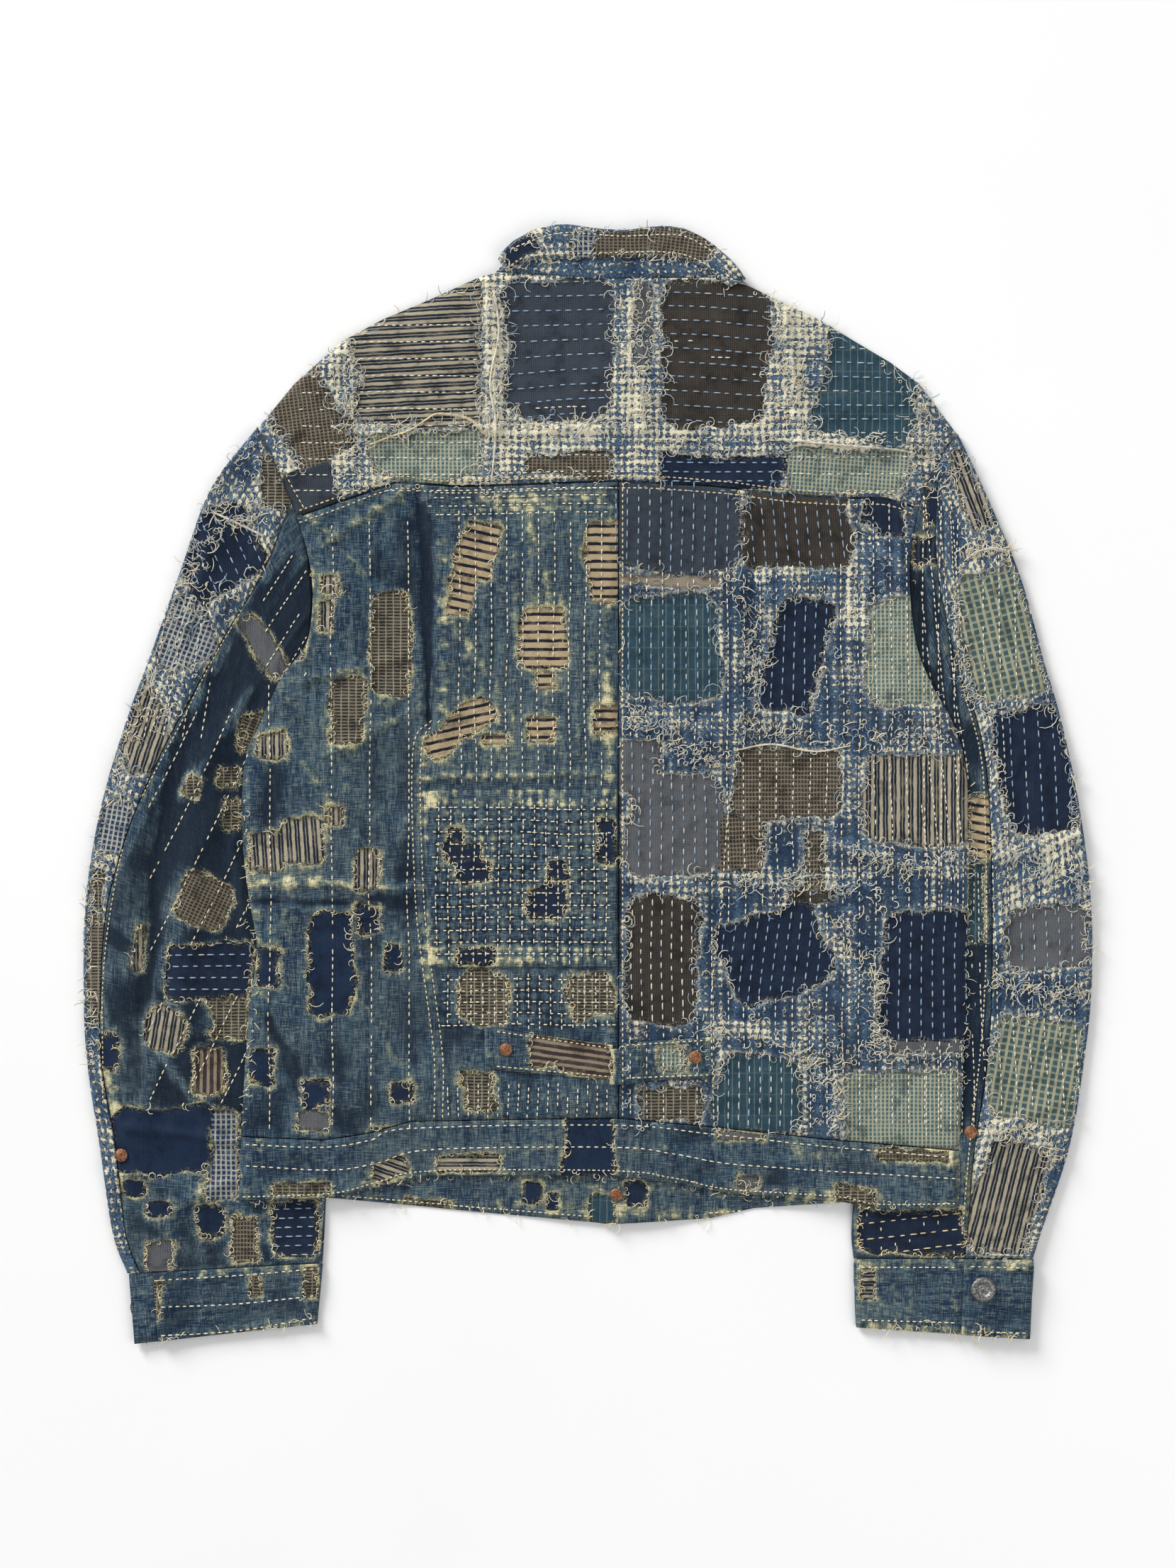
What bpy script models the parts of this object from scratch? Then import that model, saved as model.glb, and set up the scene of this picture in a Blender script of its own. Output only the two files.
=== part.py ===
"""Patched boro work jacket, laid flat on its front with its back up.

Metres, +Z up. The jacket lies on the plane z = 0, +Y runs to the collar and +X to the right of the view.
Places on the flat jacket are plan units: half a millimetre each, counted right and down on the plan.
Each cloth wall is made as a flat plate, its worn windows are cut from its upper layer, and the plate is
then laid over whatever is under it. A sleeve panel is also rolled round the sleeve's folded edge.
"""

import math

import bmesh
import bpy
import numpy as np

# Scale and place of the plan
PLAN_STEP = 0.0005
PLAN_CENTRE = np.array((830.0, 1109.0))

# Thickness of the walls, and the gaps between them
FRONT_WALL = 0.0016
BACK_WALL = 0.0024
WORN_LAYER = 0.0011
THINNEST_WALL = 0.0010
SLEEVE_WALL = 0.0017
BAND_WALL = 0.0026
STRAP_WALL = 0.0018
PATCH_WALL = 0.0016
COLLAR_WALL = 0.0020
LAYER_GAP = 0.0006
SEAM_GAP = 0.0004

# How far the cloth is lifted over what it lies on
SLEEVE_STACK = 0.0044
BUTTON_STACK = 0.0020
LEAF_STACK = 0.0024
SLEEVE_RAMP = 116.0
PLACKET_RAMP = 124.0
UNDERARM_RAMP = (700.0, 900.0)
NECK_FADE = (430.0, 560.0)
EDGE_DROP = 14.0
FOLD_END = 40.0

# Ring round the neck inside which the collar leaves lift the front: centre, half sizes, and shares of them
LEAF_CENTRE = np.array((862.0, 480.0))
LEAF_REACH = np.array((330.0, 270.0))
LEAF_FADE = (0.95, 1.45)

# Placket: half its width, the plan distance of its lapped edge, and how much further the back bridges it
PLACKET_HALF = 30.0
PLACKET_EDGE = 896.0
BACK_EXTRA = 10.0

# The sides of the back are free below the underarm, and its shoulders are free away from the neck
UNDERARM_FREE = (915.0, 975.0)
NECK_MIDDLE = 878.0
NECK_FREE = (160.0, 200.0)
NOT_FREE = 300.0

# Rolled edges of the sleeves: radius of the wall's middle
OUTER_ROLL = 0.0021
INNER_ROLL = 0.00105

# Colours: worn indigo, gauze blue, plain hidden cloth, copper and grey metal
DENIM = (0.10, 0.17, 0.26)
GAUZE = (0.24, 0.32, 0.42)
HIDDEN = (0.08, 0.13, 0.20)
COPPER = (0.45, 0.20, 0.10)
ZINC = (0.32, 0.32, 0.31)

# Side edges of the body below the underarm: plan height, left edge, right edge
SIDES = np.array(
    (
        (930, 423, 1300),
        (955, 396, 1314),
        (1010, 370, 1345),
        (1074, 345, 1364),
        (1177, 342, 1368),
        (1258, 350, 1366),
        (1335, 362, 1365),
        (1411, 353, 1364),
        (1476, 347, 1360),
        (1603, 340, 1356),
        (1705, 337, 1354),
    ),
    float,
)

# Seams and edges across the body: plan distance, plan height
SHOULDERS = ((365, 601), (415, 540), (483, 480), (539, 450), (610, 420), (674, 391), (700, 384), (762, 387),
             (854, 393), (1007, 391), (1055, 402), (1157, 450), (1206, 480), (1257, 510), (1298, 540),
             (1351, 611))
YOKE_SEAM = ((421, 729), (478, 709), (559, 681), (641, 687), (873, 680), (1004, 686), (1106, 698),
             (1188, 703), (1249, 703), (1290, 716))
WAIST_SEAM = ((340, 1603), (457, 1608), (523, 1598), (580, 1582), (871, 1577), (1004, 1590), (1157, 1606),
              (1356, 1623))
BACK_HEM = ((337, 1694), (467, 1690), (534, 1674), (610, 1659), (866, 1658), (953, 1669), (1030, 1685),
            (1178, 1694), (1239, 1705), (1310, 1708), (1354, 1703))
FRONT_HEM = ((345, 1684), (483, 1692), (661, 1710), (865, 1728), (1004, 1720), (1063, 1706), (1198, 1696),
             (1350, 1694))
FRONT_WAIST = ((350, 1610), (1350, 1616))
FRONT_NECKLINE = ((700, 404), (736, 490), (790, 545), (850, 562), (960, 530), (1022, 480), (1055, 422))
SHOULDER_INSET = 20.0

# Lines down the back: the pleats and the centre seam
LEFT_PLEAT = ((602, 684), (612, 760), (622, 850), (619, 1015), (592, 1060), (595, 1258), (606, 1365),
              (622, 1490), (622, 1580))
CENTRE_SEAM = ((873, 680), (873, 1577))
RIGHT_PLEAT = ((1045, 691), (1055, 770), (1037, 850), (1035, 1044), (1019, 1156), (1010, 1280), (996, 1411),
               (1000, 1590))

# Lines down the other panels: the yoke between its armholes, the inner lines of the fronts, the back
# waistband, and the ends of the front waistbands with their upper and lower heights
YOKE_LINES = (((520, 460), (540, 690)), ((700, 384), (700, 685)), ((873, 392), (873, 680)),
              ((1055, 402), (1055, 692)), ((1206, 480), (1190, 703)))
LEFT_FRONT_LINES = (((700, 404), (660, 1610)), ((880, 562), (880, 1610)))
RIGHT_FRONT_LINES = (((846, 562), (846, 1610)), ((1055, 422), (1080, 1610)))
BAND_LINES = (((340, 1603), (337, 1694)), ((523, 1598), (523, 1677)), ((871, 1577), (866, 1658)),
              ((1157, 1606), (1157, 1692)), ((1356, 1623), (1354, 1703)))
LEFT_BAND = (353, 880)
RIGHT_BAND = (846, 1342)
FRONT_BAND_TOP = 1611
FRONT_BAND_LOW = (1690, 1700)
PATCH_MIDDLE = ((700, 1114), (700, 1365))

# Shares along the armhole where the yoke ends on each side, where the fronts start and where the side
# edge takes over, the inset of the fronts and the share of it at the armhole, the gap under the yoke,
# and the plan distances between which the fronts follow the neckline
YOKE_END_LEFT = 0.39
YOKE_END_RIGHT = 0.335
FRONT_START = 0.05
ARMHOLE_END = 0.93
FRONT_INSET = 16.0
ARMHOLE_INSET = 0.25
YOKE_GAP = 1.5
NECK_LEFT = 690
NECK_RIGHT = 1060

# Sections across each sleeve from armhole to cuff. Columns: outer_x, outer_y, inner_x, inner_y, bow,
# and seam_over and seam_under, the shares of the width at which the seams cross above and below
LEFT_SLEEVE = np.array(
    (
        (365, 601, 423, 930, 36, 0.34, 0.50),
        (298, 690, 428, 985, 24, 0.42, 0.50),
        (253, 812, 432, 1060, 12, 0.34, 0.50),
        (211, 930, 436, 1140, 4, 0.26, 0.50),
        (178, 1020, 440, 1215, 0, 0.20, 0.50),
        (143, 1140, 445, 1300, 0, 0.14, 0.50),
        (122, 1270, 450, 1390, 0, 0.09, 0.50),
        (119, 1400, 455, 1480, 0, 0.07, 0.50),
        (124, 1500, 459, 1560, 0, 0.06, 0.50),
        (142, 1620, 460, 1650, 0, 0.07, 0.50),
        (160, 1740, 457, 1735, 0, 0.06, 0.50),
        (181, 1797, 454, 1782, 0, 0.06, 0.50),
    ),
    float,
)
RIGHT_SLEEVE = np.array(
    (
        (1351, 611, 1300, 930, -39, 0.12, 0.50),
        (1388, 690, 1287, 985, -26, 0.40, 0.50),
        (1439, 812, 1278, 1060, -12, 0.50, 0.50),
        (1472, 930, 1270, 1140, -4, 0.44, 0.50),
        (1498, 1020, 1262, 1215, 0, 0.44, 0.50),
        (1523, 1140, 1254, 1300, 0, 0.46, 0.50),
        (1539, 1270, 1244, 1390, 0, 0.47, 0.50),
        (1540, 1390, 1232, 1480, 0, 0.46, 0.50),
        (1529, 1500, 1220, 1560, 0, 0.45, 0.50),
        (1508, 1620, 1210, 1650, 0, 0.45, 0.50),
        (1470, 1735, 1203, 1735, 0, 0.39, 0.50),
        (1457, 1776, 1206, 1776, 0, 0.38, 0.50),
    ),
    float,
)
LEFT_ARMHOLE_SKEW = 0.9
RIGHT_ARMHOLE_SKEW = -0.3

# Folds that stand up. Columns: x0, y0, x1, y1, left_width, right_width, and height in metres
BACK_FOLDS = (
    (602, 690, 622, 850, 7, 60, 0.0034),
    (622, 850, 619, 1015, 7, 60, 0.0034),
    (600, 1040, 604, 1360, 10, 26, 0.0010),
    (1045, 700, 1055, 770, 50, 10, 0.0026),
    (1055, 770, 1036, 860, 50, 10, 0.0028),
    (1036, 860, 1034, 1040, 50, 12, 0.0022),
    (360, 1256, 545, 1262, 26, 26, 0.0022),
    (430, 960, 560, 1060, 30, 40, 0.0018),
    (1310, 960, 1180, 1040, 40, 36, 0.0018),
    (470, 720, 560, 800, 22, 40, 0.0018),
    (600, 1450, 630, 1570, 26, 30, 0.0018),
    (1130, 1420, 1090, 1570, 30, 30, 0.0016),
    (1200, 760, 1290, 850, 26, 26, 0.0018),
    (420, 1420, 500, 1560, 34, 30, 0.0016),
)
LEFT_SLEEVE_FOLDS = (
    (300, 880, 205, 1120, 34, 30, 0.0036),
    (200, 1120, 176, 1420, 34, 20, 0.0050),
    (300, 1060, 268, 1250, 24, 40, 0.0056),
    (268, 1250, 250, 1430, 22, 40, 0.0058),
    (250, 1520, 330, 1590, 26, 30, 0.0036),
    (180, 1650, 300, 1700, 22, 26, 0.0034),
    (210, 1730, 400, 1690, 22, 22, 0.0028),
)
RIGHT_SLEEVE_FOLDS = (
    (1420, 760, 1450, 960, 34, 34, 0.0026),
    (1400, 1040, 1405, 1300, 22, 22, 0.0030),
    (1405, 1300, 1395, 1560, 22, 22, 0.0028),
    (1440, 1170, 1530, 1230, 26, 26, 0.0026),
    (1430, 1400, 1520, 1370, 26, 26, 0.0026),
    (1420, 1600, 1490, 1640, 24, 24, 0.0030),
)

# Worn windows in the upper layer. Columns: x and y of the centre, width, height, and turn in degrees
YOKE_WINDOWS = (
    (424, 574, 78, 130, -32),
    (592, 520, 150, 150, 0),
    (790, 492, 142, 188, 0),
    (1008, 508, 140, 196, 0),
    (1220, 556, 110, 116, 20),
    (602, 647, 156, 52, 0),
    (802, 655, 130, 30, 0),
    (1016, 664, 156, 40, 0),
    (1188, 664, 140, 44, 0),
)
BACK_LEFT_WINDOWS = (
    (672, 806, 52, 110, 12),
    (848, 797, 36, 108, 0),
    (768, 897, 62, 90, 0),
    (652, 1024, 92, 44, -38),
    (852, 1015, 28, 46, 0),
    (551, 910, 48, 134, 0),
    (493, 1003, 50, 94, 0),
    (426, 1186, 58, 60, 0),
    (521, 1214, 34, 48, 0),
    (470, 1363, 54, 142, 0),
    (523, 1305, 36, 60, 0),
    (372, 1510, 38, 50, 0),
    (443, 1566, 46, 46, 0),
    (684, 1405, 60, 56, 0),
    (838, 1402, 52, 62, 0),
)
BACK_RIGHT_WINDOWS = (
    (958, 749, 140, 104, 0),
    (1130, 752, 116, 84, 0),
    (950, 920, 116, 130, 0),
    (1110, 928, 66, 166, 14),
    (1272, 924, 84, 136, 0),
    (948, 1158, 110, 136, 0),
    (1112, 1106, 140, 92, 0),
    (1287, 1122, 126, 118, 0),
    (932, 1355, 92, 160, 0),
    (1090, 1340, 124, 96, 26),
    (1300, 1374, 108, 164, 0),
    (1068, 1540, 104, 84, 0),
    (1268, 1560, 150, 86, 0),
)
GRID_WINDOWS = (
    (658, 1206, 48, 34, 0),
    (766, 1272, 50, 40, 0),
    (856, 1186, 18, 52, 0),
)
WAIST_WINDOWS = (
    (553, 1642, 46, 24, -12),
    (831, 1617, 66, 56, 0),
    (1250, 1664, 80, 26, 6),
)
LEFT_UNDER_WINDOWS = (
    (345, 1030, 50, 52, 0),
    (302, 1278, 66, 46, 25),
    (306, 1372, 104, 64, 0),
    (236, 1458, 52, 50, 0),
    (296, 1500, 50, 76, 0),
    (232, 1612, 130, 74, 0),
    (410, 1738, 64, 66, 0),
)
LEFT_UPPER_WINDOWS = ((312, 776, 90, 100, -24),)
RIGHT_UPPER_WINDOWS = (
    (1428, 886, 74, 160, -12),
    (1468, 1092, 92, 164, -10),
    (1480, 1318, 82, 84, 0),
    (1468, 1508, 92, 140, 8),
    (1424, 1694, 66, 130, 14),
)
WINDOW_SIDES = 10
WINDOW_SQUARENESS = 3.0
WINDOW_RAGGEDNESS = 0.10

# Straps, grid patch and collar: corners and lines on the plan
GRID_PATCH = ((597, 1115), (871, 1113), (871, 1364), (604, 1366))
LEFT_STRAP = ((683, 1448), (866, 1473), (868, 1524), (684, 1509))
RIGHT_STRAP = ((878, 1470), (1010, 1462), (1009, 1521), (878, 1526))
STRAP_LOOP = ((858, 1478), (906, 1478), (908, 1528), (860, 1530))
COLLAR_ROLL = ((704, 366), (732, 337), (787, 318), (839, 323), (876, 326), (928, 321), (961, 323),
               (1007, 347), (1052, 394))
COLLAR_FREE_EDGE = ((716, 386), (746, 369), (790, 366), (839, 365), (876, 364), (925, 364), (955, 365),
                    (986, 374), (1030, 406))
COLLAR_RETURN = 18.2
STAND_TOP = ((720, 362), (760, 344), (876, 342), (990, 350), (1030, 382))
STAND_SEAM = ((700, 384), (762, 387), (854, 393), (1007, 391), (1055, 402))
FRONT_LEAF = ((700, 392), (836, 560), (806, 642), (640, 520))

# Heights of the collar: underside of the stand, middles of the leaf's two layers, and how far the upper
# layer bulges at a share of its width
NECK_LEVEL = 0.0046
LEAF_LOW = 0.0030
LEAF_HIGH = 0.0084
LEAF_BULGE = 0.0002
LEAF_MIDDLE = 0.6

# Metal parts
SEAT = 0.0003
RIVET_RADIUS = 0.0046
RIVET_HEIGHT = 0.0016
BUTTON_RADIUS = 0.0085
BUTTON_HEIGHT = 0.0017
DONUT_RADIUS = 0.0088
DONUT_HEIGHT = 0.0030
TACK_RADIUS = 0.0044
BUTTON_LINE = 862.0
BUTTON_HEIGHTS = (600, 810, 1020, 1230, 1440, 1683)
TACK_OFFSET = (8, 2)
CINCH_RIVETS = ((714, 1480), (981, 1491))
LEFT_SLEEVE_RIVET = (172, 1629)
RIGHT_SLEEVE_RIVET = (1370, 1597)
RIGHT_CUFF_BUTTON = (1387, 1818)
LEFT_CUFF_BUTTON = (200, 1845)

# Profiles of the metal parts: radius, height
RIVET = ((0.0, 0.0), (RIVET_RADIUS, 0.0), (RIVET_RADIUS, 0.0006), (0.0028, 0.0012), (0.0016, RIVET_HEIGHT),
         (0.0, RIVET_HEIGHT))
BUTTON = ((0.0, 0.0), (BUTTON_RADIUS * 0.7, 0.0), (BUTTON_RADIUS, 0.0006), (BUTTON_RADIUS, BUTTON_HEIGHT),
          (0.0, BUTTON_HEIGHT))
TACK = ((0.0, 0.0), (TACK_RADIUS, 0.0), (TACK_RADIUS, 0.0008), (0.0032, 0.0014), (0.0, 0.0014))
DONUT = ((0.0, 0.0), (DONUT_RADIUS, 0.0), (DONUT_RADIUS, 0.0016), (0.0076, DONUT_HEIGHT),
         (0.0056, DONUT_HEIGHT), (0.0040, 0.0018), (0.0016, 0.0018), (0.0010, 0.0024), (0.0, 0.0024))

for old in list(bpy.data.objects):
    bpy.data.objects.remove(old)

jacket = bpy.data.collections.new("boro_jacket")
cutters = bpy.data.collections.new("cutters")
bpy.context.scene.collection.children.link(jacket)
bpy.context.scene.collection.children.link(cutters)


def to_plan(places):
    """Plan units of points given in metres."""
    across = places[:, 0] / PLAN_STEP + PLAN_CENTRE[0]
    down = PLAN_CENTRE[1] - places[:, 1] / PLAN_STEP
    return np.stack([across, down], 1)


def to_metres(plan):
    """Metres on the table of points given in plan units."""
    plan = np.asarray(plan, float)
    right = (plan[..., 0] - PLAN_CENTRE[0]) * PLAN_STEP
    up = (PLAN_CENTRE[1] - plan[..., 1]) * PLAN_STEP
    return np.stack([right, up], -1)


def ease(share):
    """A soft step from 0 to 1 as share goes from 0 to 1."""
    share = np.clip(share, 0.0, 1.0)
    return share * share * (3.0 - 2.0 * share)


def along(table, share):
    """Rows of the table read at shares from 0 to 1 of its length, on a smooth curve through the rows."""
    table = np.asarray(table, float)
    place = np.asarray(share, float) * (len(table) - 1)
    start = np.clip(np.floor(place).astype(int), 0, len(table) - 2)
    t = (place - start)[..., None]
    padded = np.vstack([2 * table[0] - table[1], table, 2 * table[-1] - table[-2]])
    a, b, c, d = (padded[start + k] for k in range(4))
    curved = b + 0.5 * t * (c - a + t * (2 * a - 5 * b + 4 * c - d + t * (3 * (b - c) + d - a)))
    straight = b + t * (c - b)
    return np.where((t < 0) | (t > 1), straight, curved)


def even(line, share):
    """Points at shares of the real length of a smooth line through the rows."""
    fine = along(line, np.linspace(0, 1, 200))
    run = np.concatenate([[0], np.cumsum(np.linalg.norm(np.diff(fine, axis=0), axis=1))])
    share = np.asarray(share, float) * run[-1]
    return np.stack([np.interp(share, run, fine[:, k]) for k in range(2)], -1)


def height_at(line, x):
    """Plan height of a line across the body at plan distance x."""
    line = np.asarray(line, float)
    return np.interp(x, line[:, 0], line[:, 1])


class Sleeve:
    """A flattened sleeve: its sections, the skew of its armhole and the folds that stand in it."""

    def __init__(self, table, skew, folds):
        self.table = table
        self.skew = skew
        self.folds = folds
        # The side direction points to the armhole on the left sleeve and to the cuff on the right one
        self.turn = 1.0 if table[0, 0] < PLAN_CENTRE[0] else -1.0

    def frame(self, v):
        """Outer point, way to the inner edge, side direction, width and bow at share v of the length."""
        row = along(self.table, v)
        outer = row[..., 0:2]
        reach = row[..., 2:4] - outer
        width = np.linalg.norm(reach, axis=-1)
        forward = reach / width[..., None]
        side = np.stack([forward[..., 1], -forward[..., 0]], -1)
        return outer, forward, side, width, row[..., 4]

    def push(self, across, width, bow):
        """How far a section bows to the side at that distance across."""
        share = np.clip(across / width, 0, 1)
        return bow * 4 * share * (1 - share) * (1 + self.skew * (share - 0.5))

    def bowed(self, v, across):
        """Plan point at share v of the sleeve, that far across from its outer edge."""
        outer, forward, side, width, bow = self.frame(v)
        return outer + forward * across[..., None] + side * self.push(across, width, bow)[..., None]

    def find(self, plan):
        """Share v and distance across of points on the upper side, by halving."""
        low = np.full(len(plan), -0.02)
        high = np.full(len(plan), 1.02)
        for _ in range(30):
            middle = (low + high) / 2
            outer, forward, side, width, bow = self.frame(middle)
            reach = plan - outer
            across = (reach * forward).sum(1)
            beyond = ((reach * side).sum(1) - self.push(across, width, bow)) * self.turn < 0
            low = np.where(beyond, middle, low)
            high = np.where(beyond, high, middle)
        return middle, across


left_sleeve = Sleeve(LEFT_SLEEVE, LEFT_ARMHOLE_SKEW, LEFT_SLEEVE_FOLDS)
right_sleeve = Sleeve(RIGHT_SLEEVE, RIGHT_ARMHOLE_SKEW, RIGHT_SLEEVE_FOLDS)


def armhole(sleeve, start, end, count):
    """Points on the armhole from share start to share end of its line."""
    width = float(np.linalg.norm(sleeve.table[0, 2:4] - sleeve.table[0, 0:2]))
    return sleeve.bowed(np.zeros(count), np.linspace(start, end, count) * width)


def fold_height(folds, plan):
    """Height of the folds at plan points: each is a ridge that fades at its ends and to each side."""
    total = np.zeros(len(plan))
    for x0, y0, x1, y1, left_width, right_width, height in folds:
        run = np.array((x1 - x0, y1 - y0), float)
        length = np.linalg.norm(run)
        run /= length
        reach = plan - np.array((x0, y0), float)
        down = reach @ run
        side = reach[:, 1] * run[0] - reach[:, 0] * run[1]
        width = np.where(side > 0, left_width, right_width)
        past = np.maximum(np.maximum(-down, down - length), 0) / FOLD_END
        total = np.maximum(total, height * np.exp(-((side / width) ** 2) - past**2))
    return total


def inner_edge(sleeve, y):
    """Plan distance of a sleeve's inner edge at plan height y."""
    return np.interp(y, sleeve.table[:, 3], sleeve.table[:, 2])


def lift_over_sleeves(plan):
    """How far the body is lifted by the sleeves that lie under its sides."""
    x, y = plan[:, 0], plan[:, 1]
    left = ease((inner_edge(left_sleeve, y) + 24 + SLEEVE_RAMP - x) / SLEEVE_RAMP)
    right = ease((x - inner_edge(right_sleeve, y) + 24 + SLEEVE_RAMP) / SLEEVE_RAMP)
    below = ease((y - UNDERARM_RAMP[0]) / (UNDERARM_RAMP[1] - UNDERARM_RAMP[0]))
    return SLEEVE_STACK * below * np.maximum(left, right)


def lift_over_leaves(plan):
    """How far the front is lifted by the collar leaves under it."""
    ring = np.linalg.norm((plan - LEAF_CENTRE) / LEAF_REACH, axis=1)
    return LEAF_STACK * ease((LEAF_FADE[1] - ring) / (LEAF_FADE[1] - LEAF_FADE[0]))


def below_neck(plan):
    """0 inside the neck opening, where there is no front, and 1 well below it."""
    return ease((plan[:, 1] - NECK_FADE[0]) / (NECK_FADE[1] - NECK_FADE[0]))


def front_level(plan):
    """Underside of the left front, which lies on the sleeves, the collar leaves and the buttons."""
    strip = ease(1 - (np.abs(plan[:, 0] - BUTTON_LINE) - PLACKET_HALF) / PLACKET_RAMP)
    return lift_over_sleeves(plan) + lift_over_leaves(plan) + BUTTON_STACK * strip * below_neck(plan)


def placket_level(plan):
    """Underside of the right front, which laps over the left one at the placket."""
    lap = ease(1 - (plan[:, 0] - PLACKET_EDGE) / PLACKET_RAMP)
    return front_level(plan) + (FRONT_WALL + LAYER_GAP) * lap * below_neck(plan)


def inset_share(plan):
    """0 at the free side and shoulder edges of the back, and 1 inside them."""
    x, y = plan[:, 0], plan[:, 1]
    side = np.minimum(x - np.interp(y, SIDES[:, 0], SIDES[:, 1]), np.interp(y, SIDES[:, 0], SIDES[:, 2]) - x)
    side += NOT_FREE * ease((UNDERARM_FREE[1] - y) / (UNDERARM_FREE[1] - UNDERARM_FREE[0]))
    sewn = ease((NECK_FREE[1] - np.abs(x - NECK_MIDDLE)) / (NECK_FREE[1] - NECK_FREE[0]))
    shoulder = y - height_at(SHOULDERS, x) + NOT_FREE * sewn
    return np.minimum(ease(side / EDGE_DROP), ease(shoulder / EDGE_DROP))


def back_level(plan):
    """Underside of the back, which lies on the fronts and drops at its free edges."""
    inset = inset_share(plan)
    beside = np.abs(plan[:, 0] - BUTTON_LINE) - PLACKET_HALF - BACK_EXTRA
    lap = ease(1 - beside / PLACKET_RAMP) * below_neck(plan)
    stack = (FRONT_WALL + LAYER_GAP) * (inset + lap)
    return front_level(plan) + stack + fold_height(BACK_FOLDS, plan) * inset


def top_of_back(plan):
    """Underside of what lies on the back."""
    return back_level(plan) + BACK_WALL + LAYER_GAP


def cloth_material(name, colour, roughness=0.9, metallic=0.0):
    """A Principled material of one colour."""
    material = bpy.data.materials.new(name)
    material.use_nodes = True
    shader = material.node_tree.nodes["Principled BSDF"]
    shader.inputs["Base Color"].default_value = (*colour, 1.0)
    shader.inputs["Roughness"].default_value = roughness
    shader.inputs["Metallic"].default_value = metallic
    return material


def panel_grid(lines, shares, rows, top, bottom):
    """Grid of plan points between lines that run down a panel.

    Each line is read at the row shares, the columns lie at the given shares between two lines, and the first
    and last rows are then moved onto the top and bottom edges, which are heights at plan distances."""
    rows = np.asarray(rows, float)
    read = [even(line, rows) for line in lines]
    columns = []
    for k, gap in enumerate(shares):
        columns += [read[k] + (read[k + 1] - read[k]) * s for s in gap]
    columns.append(read[-1])
    grid = np.stack(columns, 1)
    fade = rows[:, None]
    if top is not None:
        grid[:, :, 1] += (height_at(top, grid[0, :, 0]) - grid[0, :, 1]) * (1 - fade)
    if bottom is not None:
        grid[:, :, 1] += (height_at(bottom, grid[-1, :, 0]) - grid[-1, :, 1]) * fade
    return grid


def pull_in(grid, gap=SEAM_GAP / PLAN_STEP):
    """Moves the outer points of a plan grid in by the seam gap, towards their neighbours."""
    grid = grid.copy()
    for edge, inside in ((grid[0], grid[1]), (grid[-1], grid[-2]), (grid[:, 0], grid[:, 1]),
                         (grid[:, -1], grid[:, -2])):
        way = inside - edge
        edge += way / np.linalg.norm(way, axis=-1, keepdims=True) * gap
    return grid


def flat_plate(name, grid, low, high, collection):
    """A flat plate on the plan grid, from height low to height high."""
    rows, columns = grid.shape[:2]
    bm = bmesh.new()
    bmesh.ops.create_grid(bm, x_segments=columns - 1, y_segments=rows - 1, size=1.0)
    places = to_metres(grid[::-1].reshape(-1, 2))
    for vertex, place in zip(bm.verts, places):
        vertex.co = (place[0], place[1], low)
    bmesh.ops.recalc_face_normals(bm, faces=bm.faces)
    if sum(face.normal.z for face in bm.faces) < 0:
        bmesh.ops.reverse_faces(bm, faces=bm.faces)
    mesh = bpy.data.meshes.new(name)
    bm.to_mesh(mesh)
    bm.free()
    plate = bpy.data.objects.new(name, mesh)
    collection.objects.link(plate)
    wall = plate.modifiers.new("wall", "SOLIDIFY")
    wall.thickness = high - low
    wall.offset = 1.0
    return plate


def window_outline(window, chance):
    """A ragged outline in plan units: a rounded box whose points are pulled in by chance."""
    x, y, width, height, turn = window
    angles = (np.arange(WINDOW_SIDES) + 0.5) * 2 * math.pi / WINDOW_SIDES
    reach = np.abs(np.cos(angles)) ** WINDOW_SQUARENESS + np.abs(np.sin(angles)) ** WINDOW_SQUARENESS
    reach = reach ** (-1 / WINDOW_SQUARENESS) * (1 - WINDOW_RAGGEDNESS * chance.random(WINDOW_SIDES))
    across = np.cos(angles) * reach * width / 2
    down = np.sin(angles) * reach * height / 2
    c, s = math.cos(math.radians(turn)), math.sin(math.radians(turn))
    return np.stack([x + across * c - down * s, y + across * s + down * c], 1)


def window_cutter(name, windows, low, high, seed, flatten):
    """Ragged prisms, one for each worn window, as one cutter.

    flatten takes plan points to the flat plate."""
    chance = np.random.default_rng(seed)
    bm = bmesh.new()
    for window in windows:
        ring = bmesh.ops.create_circle(bm, cap_ends=True, segments=WINDOW_SIDES, radius=1.0)["verts"]
        for vertex, place in zip(ring, to_metres(flatten(window_outline(window, chance)))):
            vertex.co = (place[0], place[1], low)
    for face in list(bm.faces):
        made = bmesh.ops.extrude_face_region(bm, geom=[face])["geom"]
        for vertex in (item for item in made if isinstance(item, bmesh.types.BMVert)):
            vertex.co.z = high
    if any(len(edge.link_faces) == 1 for edge in bm.edges):
        raise ValueError(name + " has an open prism")
    bmesh.ops.recalc_face_normals(bm, faces=bm.faces)
    mesh = bpy.data.meshes.new(name)
    bm.to_mesh(mesh)
    bm.free()
    cutter = bpy.data.objects.new(name, mesh)
    cutter.hide_render = True
    cutter.display_type = "WIRE"
    cutters.objects.link(cutter)
    return cutter


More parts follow.
